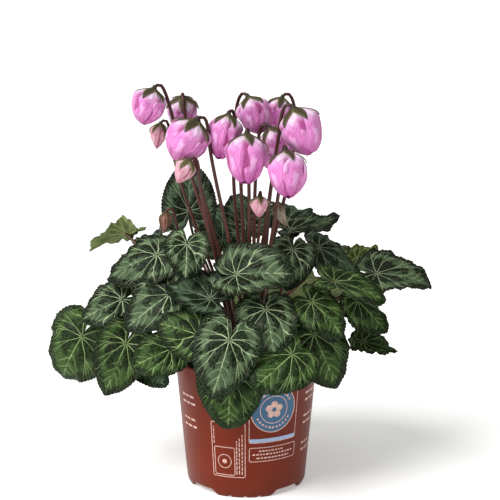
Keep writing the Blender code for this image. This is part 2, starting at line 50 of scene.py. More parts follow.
# pot: the same sizes as the CAD's
POT_SIDES = 448
RIM_RADIUS = 60.0
POT_HEIGHT = 108.0
LIP_HEIGHT = 3.2
LIP_REACH = 1.1
FOOT_RADIUS = 50.0
WALL = 1.0
FLOOR_UNDER = 5.3
FLOOR_TOP = 6.5
DISC_RADIUS = 13.0
DISC_TOP = 1.2
ARCH_RISE = 4.2
ARCH_TURN = 43.0
ARCH_HALF = 19.5  # half an arch's width in degrees, and of each of its ends
ARCH_END = 8.0
NOTCHES = (-14.0, 1.0, 14.5)  # small scallops in each foot, off the middle between two arches
NOTCH_RISE = 1.1
NOTCH_HALF = 1.7
DRAINS = 8
DRAIN_IN = 28.0
DRAIN_OUT = 38.0

SOIL_TOP = 97.0
SOIL_SIDES = 180
SOIL_GAP = 0.35  # from the soil to the pot
SOIL_EDGE = 57.0  # where the mound of its top ends
TUBER_SIDES = 96
TUBER_LEVELS = 43
TUBER = (
    (0, 80.0), (13, 81.0), (20.5, 86.0), (23.5, 93.0), (22.0, 100.0), (18.5, 103.6), (10, 105.4), (0, 106.0),
)
PIT_EDGE = 26.0
PIT = ((0, 79.5), (13.2, 80.4), (21.0, 85.6), (24.1, 92.8), (24.6, 96.6))

# blade of a leaf: angle off the tip, and reach as a share of the way from hub to tip
OUTLINE = (
    (0, 1.00), (12, 0.91), (30, 0.76), (54, 0.63), (80, 0.56), (105, 0.54), (130, 0.525), (150, 0.47),
    (165, 0.36), (174, 0.22), (180, 0.08),
)
STALK_CORNERS = 5  # corners of each ring of a CAD stalk
STALK_RINGS = 8
STEM_RINGS = 14
CROWN_REACH = 22.0  # a ring within this of the axis, between the heights below, is the foot of a stalk
CROWN_HEIGHTS = (100.0, 112.0)
ROOTED = 1.3  # how far a stalk's foot goes into the crown
FOUND = 0.3  # a blade's margin that lies further than this from its CAD corners is in the wrong place
CAD_ANGLES = (0, 14, 33, 57, 84, 111, 134, 153, 167)
CAD_HALF = 0.4  # half the CAD blade's thickness
CAD_WAVE = 0.022  # rise of the waves of its margin, as a share of its length
MARGIN_WAVE = 0.034  # the finished blade's
TWIST = 0.24  # most that a finished blade is twisted, either way
DROOP = (-0.03, 0.11)  # least and most that its tip hangs
BLADE_HALF = 0.28  # half the finished blade's
HUB_RADIUS = 2.4  # where the stalk meets the blade
NOTCH_REACH = HUB_RADIUS + 1.2  # the margin comes no nearer to the hub than this
STALK_STEPS = 40
STEM_STEPS = 70
TEETH = 64
ANGLES = TEETH * 4
RINGS = 34  # of the blade's face
BACK_RINGS = 12
TOOTH = 1.05  # how far a tooth stands out
STANDARD = 42.0  # length of the blade that the markings are drawn for
RAY_TURN = 38.0  # angle between the main veins
SIDE_PITCH = 0.155  # from one side vein of the midrib to the next, as a share of the length

# name: compass angle and fall of the line from hub to tip, compass angle and height that the face looks to,
# hub to tip, width as a share of the outline's, fold of the two halves, curl down of the tip, tint
LEAVES = {
    "leaf_01": (165, 22, 95, 62, 36, 0.95, 16, 20, "pale"),
    "leaf_02": (120, 12, -100, 62, 38, 1.0, 10, 20, "dark"),
    "leaf_03": (180, 17, -92, 58, 48, 1.0, -8, 25, "silver"),
    "leaf_04": (-165, 30, -60, 40, 22, 0.9, 34, 20, "pale"),
    "leaf_05": (-160, 18, -98, 34, 38, 1.0, -8, 25, "silver"),
    "leaf_06": (-168, 32, -95, 54, 46, 1.0, 12, 20, "silver"),
    "leaf_07": (178, 58, -102, 26, 50, 1.15, -12, 30, "green"),
    "leaf_08": (-168, 66, -86, 22, 49, 0.85, 10, 15, "green"),
    "leaf_09": (-36, 40, -120, 30, 36, 0.85, 20, -20, "dark"),
    "leaf_10": (-160, 16, -92, 30, 35, 1.0, -8, 20, "green"),
    "leaf_11": (165, -16, -92, 36, 37, 1.05, -8, 20, "green"),
    "leaf_12": (158, -14, -92, 56, 40, 1.0, 20, 10, "dark"),
    "leaf_13": (-126, 62, -82, 24, 48, 1.0, -6, 20, "silver"),
    "leaf_14": (-106, 76, -92, 12, 44, 1.1, 8, 15, "green"),
    "leaf_15": (-72, 48, -82, 34, 40, 1.12, -8, 20, "silver"),
    "leaf_16": (-14, -8, -92, 52, 47, 1.0, 18, 15, "silver"),
    "leaf_17": (-140, 26, -78, 34, 43, 1.1, -8, 20, "green"),
    "leaf_18": (-20, 64, -78, 18, 50, 0.9, -14, 10, "green"),
    "leaf_19": (-30, 34, -78, 44, 38, 1.0, -8, 20, "green"),
    "leaf_20": (-66, 74, -70, 16, 38, 0.95, 10, 10, "dark"),
    "leaf_21": (-100, 42, -82, 46, 36, 1.0, -6, 20, "silver"),
    "leaf_22": (4, -2, -92, 80, 44, 0.9, 14, -24, "silver"),
    "leaf_23": (-8, 28, -82, 60, 40, 1.0, -8, 20, "dark"),
    "leaf_24": (-6, 2, -94, 64, 48, 1.0, 8, 12, "silver"),
    "leaf_25": (20, -30, -120, 34, 22, 0.9, 20, 10, "pale"),
    "leaf_26": (-12, 12, -90, 76, 44, 1.0, 10, 15, "green"),
    "leaf_27": (-4, 46, -66, 40, 36, 0.95, -10, 15, "green"),
    "leaf_28": (-8, 8, -92, 70, 30, 0.9, 12, 20, "green"),
    "leaf_29": (92, -72, -88, 16, 42, 1.0, 8, 10, "dark"),
    "leaf_30": (112, -50, -90, 28, 34, 1.0, 8, 20, "dark"),
    "leaf_31": (-92, 48, -86, 42, 31, 1.05, 8, 15, "silver"),
    "leaf_32": (60, -26, -96, 50, 36, 1.0, 8, 20, "dark"),
    "leaf_33": (160, 44, 150, 42, 46, 1.0, -8, 25, "green"),
    "leaf_34": (138, 52, 128, 34, 48, 1.0, -8, 25, "green"),
    "leaf_35": (112, 50, 105, 36, 48, 1.05, -8, 25, "silver"),
    "leaf_36": (88, 54, 85, 32, 50, 1.0, -8, 25, "green"),
    "leaf_37": (62, 48, 66, 38, 48, 1.0, -8, 25, "silver"),
    "leaf_38": (34, 46, 40, 40, 47, 1.05, -8, 25, "green"),
    "leaf_39": (95, -50, -90, 36, 42, 1.05, 8, 15, "dark"),
    "leaf_40": (140, 26, 130, 56, 45, 1.0, 10, 25, "silver"),
    "leaf_41": (48, 22, 60, 58, 46, 1.0, 10, 25, "silver"),
}
TILTS = ((0, 0), (8, 0), (-8, 0), (0, 8), (0, -8))

# name: width of the head, kind, turn of its petals
FLOWERS = {
    "flower_01": (27, "open", 10),
    "flower_02": (25, "open", 50),
    "flower_03": (14, "bud", 20),
    "flower_04": (34, "open", 0),
    "flower_05": (27, "open", 30),
    "flower_06": (27, "open", 5),
    "flower_07": (32, "open", 40),
    "flower_08": (25, "open", 15),
    "flower_09": (33, "open", 25),
    "flower_10": (21, "open", 60),
    "flower_11": (30, "open", 35),
    "flower_12": (20, "open", 0),
    "flower_13": (16, "bud", 12),
    "flower_14": (14.5, "bud", 44),
    "flower_15": (9, "dry", 8),
    "flower_16": (9.5, "young", 30),
}
# share of the head's length, share of its radius
PROFILES = {
    "open": (
        (0, 0.10), (0.04, 0.27), (0.1, 0.54), (0.19, 0.82), (0.31, 0.99), (0.48, 0.99), (0.66, 0.88), (0.85, 0.60),
        (1.0, 0.14),
    ),
    "bud": ((0, 0.2), (0.07, 0.46), (0.2, 0.88), (0.38, 1.0), (0.56, 0.86), (0.74, 0.6), (0.9, 0.3), (1.0, 0.05)),
}
PETAL_GRID = (23, 30)  # places across and along
SEPAL_GRID = (11, 16)
PETAL_WAVES = ((0.024, 9, 2), (0.03, 4, 3), (0.02, 7, 6), (0.014, 15, 4), (0.01, 11, 13))  # rise, along, across
PETALS_EACH = 5
CONE_SIDES = 20  # of the body that the sepals grow from


# numbers and shapes


def smooth(table, at):
    """The value of a table of (place, value) pairs at each place, by a smooth curve through them."""
    x = np.array([p[0] for p in table], float)
    y = np.array([p[1] for p in table], float)
    slope = np.gradient(y, x)
    slope[0] = (y[1] - y[0]) / (x[1] - x[0])
    slope[-1] = (y[-1] - y[-2]) / (x[-1] - x[-2])
    at = np.clip(np.asarray(at, float), x[0], x[-1])
    k = np.clip(np.searchsorted(x, at, side="right") - 1, 0, len(x) - 2)
    h = x[k + 1] - x[k]
    t = (at - x[k]) / h
    low = y[k] * (1 + 2 * t) * (1 - t) ** 2 + slope[k] * h * t * (1 - t) ** 2
    return low + y[k + 1] * t * t * (3 - 2 * t) + slope[k + 1] * h * t * t * (t - 1)


def step(low, high, at):
    """0 below low, 1 above high, and smooth between them."""
    t = np.clip((np.asarray(at, float) - low) / (high - low), 0, 1)
    return t * t * (3 - 2 * t)


def compass(turn, rise=0.0):
    """The unit vector at a compass angle, raised from the level."""
    a, b = math.radians(turn), math.radians(rise)
    return Vector((math.cos(a) * math.cos(b), math.sin(a) * math.cos(b), math.sin(b)))


def smooth_path(points, count):
    """A smooth line through some points, evenly spaced."""
    points = np.array(points, float)
    run = np.concatenate([[0], np.cumsum(np.linalg.norm(np.diff(points, axis=0), axis=1))])
    at = np.linspace(0, run[-1], count)
    return np.stack([smooth(list(zip(run, points[:, k])), at) for k in range(3)], axis=1)


def shell(front, back):
    """A closed thin solid between two grids of points."""
    nu, nv = front.shape[:2]
    index = np.arange(nu * nv).reshape(nu, nv)
    behind = index + nu * nv
    faces = []
    for grid in (index, behind[::-1]):
        a, b, c, d = grid[:-1, :-1], grid[1:, :-1], grid[1:, 1:], grid[:-1, 1:]
        faces.extend(np.stack([a, b, c, d], axis=-1).reshape(-1, 4).tolist())
    rim = list(index[:, 0]) + list(index[-1, 1:]) + list(index[-2::-1, -1]) + list(index[0, -2:0:-1])
    for a, b in zip(rim, rim[1:] + rim[:1]):
        faces.append([int(b), int(a), int(a) + nu * nv, int(b) + nu * nv])
    return np.concatenate([front.reshape(-1, 3), back.reshape(-1, 3)]), faces


def merged(parts):
    """Several (points, faces) as one."""
    points, faces, count = [], [], 0
    for more, sides in parts:
        points.append(np.asarray(more))
        faces.extend([k + count for k in face] for face in sides)
        count += len(more)
    return np.concatenate(points), faces


def in_scene(name, data):
    """A new object in the scene."""
    obj = bpy.data.objects.new(name, data)
    bpy.context.scene.collection.objects.link(obj)
    return obj


def piece(name, points, faces, materials, values=None, uv=None, kinds=None, rounded=True):
    """A finished closed mesh: points in millimetres, values by vertex, and the material of each face."""
    mesh = bpy.data.meshes.new(name)
    mesh.from_pydata((np.asarray(points) * MM).tolist(), [], faces)
    for mat in materials:
        mesh.materials.append(mat)
    if kinds is not None:
        mesh.polygons.foreach_set("material_index", np.asarray(kinds, np.int32))
    for key, value in (values or {}).items():
        mesh.attributes.new(key, "FLOAT", "POINT").data.foreach_set("value", np.asarray(value, np.float32))
    if uv is not None:
        corner = np.zeros(len(mesh.loops), np.int32)
        mesh.loops.foreach_get("vertex_index", corner)
        layer = mesh.uv_layers.new(name="UVMap")
        layer.data.foreach_set("uv", np.asarray(uv, np.float32)[corner].ravel())
    work = bmesh.new()
    work.from_mesh(mesh)
    bmesh.ops.recalc_face_normals(work, faces=work.faces)
    work.to_mesh(mesh)
    work.free()
    if rounded:
        mesh.shade_smooth()
    return in_scene(name, mesh)


def seat(obj, node_name):
    """Ties a piece to the part: it rides on the body and stands for its CAD node, which is hidden."""
    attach(obj, "root")
    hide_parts(node_name)


# colours and materials


def linear(code):
    """An sRGB hex colour as linear RGBA."""
    out = []
    for k in (1, 3, 5):
        c = int(code[k:k + 2], 16) / 255
        out.append(c / 12.92 if c <= 0.04045 else ((c + 0.055) / 1.055) ** 2.4)
    return (*out, 1.0)


def connect(tree, target, inputs):
    """Fills a node's inputs, by name or number: a value, a socket to link, or a node to link by its first output."""
    for key, value in inputs.items():
        if isinstance(value, bpy.types.Node):
            value = value.outputs[0]
        if isinstance(value, bpy.types.NodeSocket):
            tree.links.new(value, target.inputs[key])
        else:
            target.inputs[key].default_value = value


def node(tree, kind, inputs=None, stops=None, **settings):
    """Adds a node with its inputs; stops are a ramp's (place, colour) pairs."""
    made = tree.nodes.new(kind)
    for key, value in settings.items():
        setattr(made, key, value)
    if stops:
        elements = made.color_ramp.elements
        while len(elements) < len(stops):
            elements.new(0.5)
        for element, (place, code) in zip(elements, stops):
            element.position = place
            element.color = linear(code)
    connect(tree, made, inputs or {})
    return made


def blank(name, **shader_inputs):
    """A new material with only its shader, and values on the shader's own sockets."""
    mat = bpy.data.materials.new(name)
    mat.use_nodes = True
    shader = mat.node_tree.nodes["Principled BSDF"]
    for key, value in shader_inputs.items():
        shader.inputs[key.replace("_", " ")].default_value = value
    return mat, mat.node_tree, shader


LEAF_TINTS = {
    # deep green between the veins, lighter green, pale marking, veins, how strongly the marking shows
    "silver": ("#070F05", "#14230D", "#5A714F", "#A3B58C", 0.6),
    "green": ("#091304", "#182E0C", "#45632F", "#8DA46A", 0.5),
    "dark": ("#081107", "#182812", "#50674C", "#86997A", 0.56),
    "pale": ("#38491F", "#627738", "#86965A", "#A6B278", 0.45),
}


def vein_network(tree):
    """Veins drawn from the blade's own values: 1 on a vein and 0 off it. With their soft edges they are 1 mm wide
    at the hub and 0.5 mm at the margin, and they waver by about 0.3 mm."""
    ray, fork, twig, slant, gone, reach, far = (
        node(tree, "ShaderNodeAttribute", attribute_name=name).outputs["Fac"]
        for name in ("ray", "fork", "twig", "slant", "gone", "reach", "far")
    )
    where = node(tree, "ShaderNodeTexCoord").outputs["Object"]
    waver = node(tree, "ShaderNodeTexNoise", {"Vector": where, "Scale": 260.0, "Detail": 2.0})
    small = node(tree, "ShaderNodeMath", {0: waver, 1: 0.16, 2: -0.08}, operation="MULTIPLY_ADD")
    wavering = node(tree, "ShaderNodeMath", {0: ray, 1: small}, operation="ADD")
    off = node(tree, "ShaderNodeMath", {0: wavering, 1: 0.5}, operation="PINGPONG")
    for spread in (fork, twig):
        less = node(tree, "ShaderNodeMath", {0: off, 1: spread}, operation="SUBTRACT")
        off = node(tree, "ShaderNodeMath", {0: less}, operation="ABSOLUTE")
    gap = node(tree, "ShaderNodeMath", {0: off, 1: far}, operation="MULTIPLY")
    thin = node(tree, "ShaderNodeMapRange", {"Value": reach, "To Min": 1.8, "To Max": 3.6})
    scaled = node(tree, "ShaderNodeMath", {0: gap, 1: thin}, operation="MULTIPLY")
    main = node(
        tree, "ShaderNodeMapRange",
        {"Value": scaled, "From Min": 0.45, "From Max": 1.3, "To Min": 1.0, "To Max": 0.0},
    )
    slant = node(tree, "ShaderNodeMath", {0: slant, 1: small}, operation="ADD")
    beside = node(tree, "ShaderNodeMath", {0: slant, 1: 0.5}, operation="PINGPONG")
    wide = node(tree, "ShaderNodeMath", {0: beside, 1: gone}, operation="ADD")
    side = node(
        tree, "ShaderNodeMapRange",
        {"Value": wide, "From Min": 0.02, "From Max": 0.08, "To Min": 0.55, "To Max": 0.0},
    )
    both = node(tree, "ShaderNodeMath", {0: main, 1: side}, operation="MAXIMUM")
    ending = node(
        tree, "ShaderNodeMapRange",
        {"Value": reach, "From Min": 0.8, "From Max": 0.95, "To Min": 1.0, "To Max": 0.15},
    )
    return node(tree, "ShaderNodeMath", {0: both, 1: ending}, operation="MULTIPLY")


def leaf_face(tint):
    """Living leaf, upper side: a thin waxy skin, so it is satin. Deep green with pale veins and a silver marking
    that breaks up in feathers about 2 mm wide along the veins; the net of small veins is 3 mm across."""
    deep, mid, silver, vein, strength = LEAF_TINTS[tint]
    mat, tree, shader = blank("living_leaf_upper_" + tint, IOR=1.45, Specular_IOR_Level=0.14)
    where = node(tree, "ShaderNodeTexCoord").outputs["Object"]
    marks, ray, reach, age = (
        node(tree, "ShaderNodeAttribute", attribute_name=name).outputs["Fac"]
        for name in ("silver", "ray", "reach", "age")
    )
    lines = vein_network(tree)
    cloud = node(tree, "ShaderNodeTexNoise", {"Vector": where, "Scale": 150.0, "Detail": 4.0})
    fray = node(tree, "ShaderNodeTexNoise", {"Vector": where, "Scale": 900.0, "Detail": 3.0})
    cells = node(tree, "ShaderNodeTexVoronoi", {"Vector": where, "Scale": 330.0}, feature="DISTANCE_TO_EDGE")
    polar = node(tree, "ShaderNodeCombineXYZ", {"X": ray, "Y": reach, "Z": age})
    drawn = node(tree, "ShaderNodeMapping", {"Vector": polar, "Scale": (9.0, 3.5, 40.0)})
    feather = node(tree, "ShaderNodeTexNoise", {"Vector": drawn, "Scale": 1.0, "Detail": 4.0})
    shade = node(tree, "ShaderNodeMath", {0: cloud, 1: age}, operation="ADD")
    ground = node(tree, "ShaderNodeValToRGB", {"Fac": shade}, stops=((0.35, deep), (0.95, mid)))
    torn = marks
    for noise, size in ((feather, 1.5), (fray, 0.5)):
        push = node(tree, "ShaderNodeMath", {0: noise, 1: size, 2: -size / 2}, operation="MULTIPLY_ADD")
        torn = node(tree, "ShaderNodeMath", {0: torn, 1: push}, operation="ADD")
    cover = node(
        tree, "ShaderNodeMapRange",
        {"Value": torn, "From Min": 0.3, "From Max": 0.95, "To Max": strength},
    )
    marked = node(
        tree, "ShaderNodeMix", {0: cover, 6: ground, 7: linear(silver)}, data_type="RGBA"
    ).outputs[2]
    net = node(
        tree, "ShaderNodeMapRange",
        {"Value": cells, "From Min": 0.0, "From Max": 0.1, "To Min": 0.12, "To Max": 0.0},
    )
    netted = node(tree, "ShaderNodeMix", {0: net, 6: marked, 7: linear(vein)}, data_type="RGBA").outputs[2]
    veined = node(tree, "ShaderNodeMix", {0: lines, 6: netted, 7: linear(vein)}, data_type="RGBA").outputs[2]
    margin = node(
        tree, "ShaderNodeMapRange", {"Value": reach, "From Min": 0.93, "From Max": 1.0, "To Max": 0.5}
    )
    rimmed = node(tree, "ShaderNodeMix", {0: margin, 6: veined, 7: linear(deep)}, data_type="RGBA").outputs[2]
    rough = node(tree, "ShaderNodeMapRange", {"Value": cloud, "To Min": 0.4, "To Max": 0.6})
    pitted = node(tree, "ShaderNodeMath", {0: net, 1: lines}, operation="ADD")
    bump = node(tree, "ShaderNodeBump", {"Height": pitted, "Strength": 0.5, "Distance": 0.0003}, invert=True)
    connect(tree, shader, {"Base Color": rimmed, "Roughness": rough, "Normal": bump})
    return mat


def leaf_under():
    """Living leaf, underside: paler, duller and yellower than the face, with its veins standing out."""
    mat, tree, shader = blank("living_leaf_underside", IOR=1.42, Roughness=0.62)
    where = node(tree, "ShaderNodeTexCoord").outputs["Object"]
    lines = vein_network(tree)
    cloud = node(tree, "ShaderNodeTexNoise", {"Vector": where, "Scale": 120.0, "Detail": 4.0})
    ground = node(tree, "ShaderNodeValToRGB", {"Fac": cloud}, stops=((0.3, "#4F6238"), (0.75, "#8A9A58")))
    veined = node(
        tree, "ShaderNodeMix", {0: lines, 6: ground, 7: linear("#A9A873")}, data_type="RGBA"
    ).outputs[2]
    connect(tree, shader, {"Base Color": veined})
    return mat


def stalk_skin(name, foot, middle, top):
    """Leaf stalk or flower stem: juicy, red-brown and slightly glossy, finely ribbed along its length and darker
    towards the hook. The ribs are 0.7 mm apart."""
    mat, tree, shader = blank(name, Roughness=0.42, IOR=1.45)
    along = node(tree, "ShaderNodeAttribute", attribute_name="along").outputs["Fac"]
    where = node(tree, "ShaderNodeTexCoord").outputs["Object"]
    drawn = node(tree, "ShaderNodeMapping", {"Vector": where, "Scale": (1.0, 1.0, 0.12)})
    streak = node(tree, "ShaderNodeTexNoise", {"Vector": drawn, "Scale": 1400.0, "Detail": 2.0})
    blotch = node(tree, "ShaderNodeTexNoise", {"Vector": where, "Scale": 90.0, "Detail": 2.0})
    shifted = node(tree, "ShaderNodeMath", {0: blotch, 1: 0.5, 2: -0.25}, operation="MULTIPLY_ADD")
    place = node(tree, "ShaderNodeMath", {0: along, 1: shifted}, operation="ADD")
    # The foot colour is darker than the middle; for the flower stems it is painted shade where they go in among the
    # leaves.
    ground = node(tree, "ShaderNodeValToRGB", {"Fac": place}, stops=((0.0, foot), (0.5, middle), (1.0, top)))
    faint = node(tree, "ShaderNodeMath", {0: streak, 1: 0.5}, operation="MULTIPLY")
    skin = node(
        tree, "ShaderNodeMix", {0: faint, 6: ground, 7: linear("#2E120E")}, data_type="RGBA"
    ).outputs[2]
    bump = node(tree, "ShaderNodeBump", {"Height": streak, "Strength": 0.3, "Distance": 0.0002})
    connect(tree, shader, {"Base Color": skin, "Normal": bump})
    return mat


def petal_skin(name, base, body, light, deep, tip):
    """Petal: a soft, moist, slightly see-through sheet with a satin bloom. Cream where it leaves the calyx, pink
    beyond, with a painted highlight on the shoulder and on the rises of the crumple, painted shade deeper in the
    folds and creases, and fine veins about 1 mm apart running its length."""
    mat, tree, shader = blank(
        name, Roughness=0.5, IOR=1.4, Subsurface_Weight=0.25, Subsurface_Scale=0.004, Sheen_Weight=0.15
    )
    shader.inputs["Subsurface Radius"].default_value = (1.0, 0.35, 0.6)
    uv = node(tree, "ShaderNodeUVMap", uv_map="UVMap")
    along = node(tree, "ShaderNodeSeparateXYZ", {"Vector": uv}).outputs["Y"]
    where = node(tree, "ShaderNodeTexCoord").outputs["Object"]
    fold = node(tree, "ShaderNodeAttribute", attribute_name="fold").outputs["Fac"]
    drawn = node(tree, "ShaderNodeMapping", {"Vector": uv, "Scale": (26.0, 1.6, 1.0)})
    veins = node(tree, "ShaderNodeTexNoise", {"Vector": drawn, "Scale": 1.0, "Detail": 3.0})
    cloud = node(tree, "ShaderNodeTexNoise", {"Vector": where, "Scale": 110.0, "Detail": 2.0})
    drift = node(tree, "ShaderNodeMath", {0: cloud, 1: 0.16, 2: -0.08}, operation="MULTIPLY_ADD")
    place = node(tree, "ShaderNodeMath", {0: along, 1: drift}, operation="ADD")
    # Painted highlight: the light colour at 0.16 along is the pale shoulder.
    ground = node(
        tree, "ShaderNodeValToRGB", {"Fac": place},
        stops=((0.07, base), (0.16, light), (0.38, body), (0.8, body), (1.0, tip)),
    )
    lined = node(
        tree, "ShaderNodeMapRange", {"Value": veins, "From Min": 0.5, "From Max": 0.75, "To Max": 0.3}
    )
    folds = node(tree, "ShaderNodeMapping", {"Vector": uv, "Scale": (2.4, 1.7, 1.0)})
    shift = node(tree, "ShaderNodeVectorMath", {0: folds, 1: where}, operation="ADD")
    crumple = node(tree, "ShaderNodeTexNoise", {"Vector": shift, "Scale": 1.3, "Detail": 4.0})
    ridge = node(tree, "ShaderNodeMath", {0: crumple, 1: 0.5}, operation="SUBTRACT")
    ridge = node(tree, "ShaderNodeMath", {0: ridge}, operation="ABSOLUTE")
    # Painted shade: the deep colour drawn in thin lines along the creases of the crumple noise.
    painted_crease_shade = node(
        tree, "ShaderNodeMapRange",
        {"Value": ridge, "From Min": 0.0, "From Max": 0.045, "To Min": 0.34, "To Max": 0.0},
    )
    # Painted highlight: the rises of the crumple noise are lifted towards the light colour.
    glow = node(
        tree, "ShaderNodeMapRange",
        {"Value": crumple, "From Min": 0.51, "From Max": 0.64, "To Max": 0.85},
    )
    ground = node(tree, "ShaderNodeMix", {0: glow, 6: ground, 7: linear(light)}, data_type="RGBA").outputs[2]
    ground = node(tree, "ShaderNodeMix", {0: painted_crease_shade, 6: ground, 7: linear(deep)}, data_type="RGBA").outputs[2]
    veined = node(tree, "ShaderNodeMix", {0: lined, 6: ground, 7: linear(deep)}, data_type="RGBA").outputs[2]
    # Painted shade: the deep colour laid on by the fold values.
    fold_shaded = node(tree, "ShaderNodeMix", {0: fold, 6: veined, 7: linear(deep)}, data_type="RGBA").outputs[2]
    bump = node(tree, "ShaderNodeBump", {"Height": veins, "Strength": 0.25, "Distance": 0.0003})
    bump = node(
        tree, "ShaderNodeBump",
        {"Height": crumple, "Strength": 0.6, "Distance": 0.006, "Normal": bump},
    )
    connect(tree, shader, {"Base Color": fold_shaded, "Normal": bump})
    return mat


def sepal_skin(name, middle, side, edge):
    """Sepal: leathery and matt, olive with a dark midrib and paler edges, flecked at about 0.9 mm."""
    mat, tree, shader = blank(name, Roughness=0.6, IOR=1.45)
    uv = node(tree, "ShaderNodeUVMap", uv_map="UVMap")
    across = node(tree, "ShaderNodeSeparateXYZ", {"Vector": uv})
    where = node(tree, "ShaderNodeTexCoord").outputs["Object"]
    off = node(tree, "ShaderNodeMath", {0: across, 1: 0.5}, operation="SUBTRACT")
    away = node(tree, "ShaderNodeMath", {0: off}, operation="ABSOLUTE")
    ground = node(
        tree, "ShaderNodeValToRGB",
        {"Fac": away}, stops=((0.0, middle), (0.12, side), (0.38, side), (0.5, edge)),
    )
    flecks = node(tree, "ShaderNodeTexNoise", {"Vector": where, "Scale": 1100.0, "Detail": 2.0})
    dark = node(
        tree, "ShaderNodeMapRange", {"Value": flecks, "From Min": 0.5, "From Max": 0.66, "To Max": 0.7}
    )
    skin = node(tree, "ShaderNodeMix", {0: dark, 6: ground, 7: linear("#2A2416")}, data_type="RGBA").outputs[2]
    bump = node(tree, "ShaderNodeBump", {"Height": flecks, "Strength": 0.3, "Distance": 0.0002})
    connect(tree, shader, {"Base Color": skin, "Normal": bump})
    return mat


def pot_plastic():
    """Injection moulded polypropylene, terracotta coloured: even colour, satin, with a faint orange-peel grain of
    1.5 mm, and darker, greyer patches low on the wall that fade out 20 mm up."""
    mat, tree, shader = blank("moulded_polypropylene_terracotta", IOR=1.49, Specular_IOR_Level=0.16)
    where = node(tree, "ShaderNodeTexCoord").outputs["Object"]
    height = node(tree, "ShaderNodeSeparateXYZ", {"Vector": where}).outputs["Z"]
    cloud = node(tree, "ShaderNodeTexNoise", {"Vector": where, "Scale": 30.0, "Detail": 4.0})
    peel = node(tree, "ShaderNodeTexNoise", {"Vector": where, "Scale": 650.0, "Detail": 2.0})
    ground = node(tree, "ShaderNodeValToRGB", {"Fac": cloud}, stops=((0.3, "#661F0A"), (0.7, "#73260E")))
    # Darker, greyer brown in patches towards the bottom of the wall.
    low = node(
        tree, "ShaderNodeMapRange",
        {"Value": height, "From Min": 0.0, "From Max": 0.02, "To Min": 0.35, "To Max": 0.0},
    )
    low_patches = node(tree, "ShaderNodeMath", {0: low, 1: cloud}, operation="MULTIPLY")
    darker_below = node(
        tree, "ShaderNodeMix", {0: low_patches, 6: ground, 7: linear("#4A3226")}, data_type="RGBA"
    ).outputs[2]
    rough = node(tree, "ShaderNodeMapRange", {"Value": cloud, "To Min": 0.3, "To Max": 0.46})
    bump = node(tree, "ShaderNodeBump", {"Height": peel, "Strength": 0.15, "Distance": 0.0002})
    connect(tree, shader, {"Base Color": darker_below, "Roughness": rough, "Normal": bump})
    return mat


def ink(name, code, thin):
    """Screen-printed ink on plastic: matt and a little uneven, letting some of the red through where it is thin."""
    mat, tree, shader = blank(name, Roughness=0.5, IOR=1.48)
    where = node(tree, "ShaderNodeTexCoord").outputs["Object"]
    cover = node(tree, "ShaderNodeTexNoise", {"Vector": where, "Scale": 700.0, "Detail": 3.0})
    ground = node(tree, "ShaderNodeValToRGB", {"Fac": cover}, stops=((0.3, thin), (0.62, code)))
    connect(tree, shader, {"Base Color": ground})
    return mat


def crumbly(name, dark, light, grain, rough=0.95):
    """A dry, crumbly surface such as peat, cork-like bark or perlite, mottled at the grain given in millimetres."""
    mat, tree, shader = blank(name, Roughness=rough, IOR=1.4)
    where = node(tree, "ShaderNodeTexCoord").outputs["Object"]
    lumps = node(tree, "ShaderNodeTexNoise", {"Vector": where, "Scale": 1000.0 / grain, "Detail": 6.0})
    ground = node(tree, "ShaderNodeValToRGB", {"Fac": lumps}, stops=((0.3, dark), (0.7, light)))
    bump = node(tree, "ShaderNodeBump", {"Height": lumps, "Strength": 0.8, "Distance": 0.001})
    connect(tree, shader, {"Base Color": ground, "Normal": bump})
    return mat


# Geometry Nodes


def new_tree(name, inputs):
    """An empty Geometry Nodes tree with named inputs; gives the tree, its input sockets and its output node."""
    tree = bpy.data.node_groups.new(name, "GeometryNodeTree")
    tree.interface.new_socket("Geometry", in_out="INPUT", socket_type="NodeSocketGeometry")
    for key, kind in inputs.items():
        tree.interface.new_socket(key, in_out="INPUT", socket_type=kind)
    tree.interface.new_socket("Geometry", in_out="OUTPUT", socket_type="NodeSocketGeometry")
    return tree, node(tree, "NodeGroupInput").outputs, node(tree, "NodeGroupOutput")


def stalk_sweep():
    """A round stalk with closed ends along a line of corners, as thick as its "girth"."""
    tree, given, out = new_tree("stalk_sweep", {"Sides": "NodeSocketInt", "Material": "NodeSocketMaterial"})
    curve = node(tree, "GeometryNodeMeshToCurve", {"Mesh": given["Geometry"]})
    girth = node(tree, "GeometryNodeInputNamedAttribute", {"Name": "girth"})
    circle = node(
        tree, "GeometryNodeCurvePrimitiveCircle", {"Resolution": given["Sides"], "Radius": 1.0}
    )
    swept = node(
        tree, "GeometryNodeCurveToMesh",
        {"Curve": curve, "Profile Curve": circle, "Scale": girth, "Fill Caps": True},
    )
    real = node(tree, "GeometryNodeRealizeInstances", {"Geometry": swept})
    done = node(tree, "GeometryNodeSetMaterial", {"Geometry": real, "Material": given["Material"]})
    connect(tree, out, {"Geometry": done})
    return tree


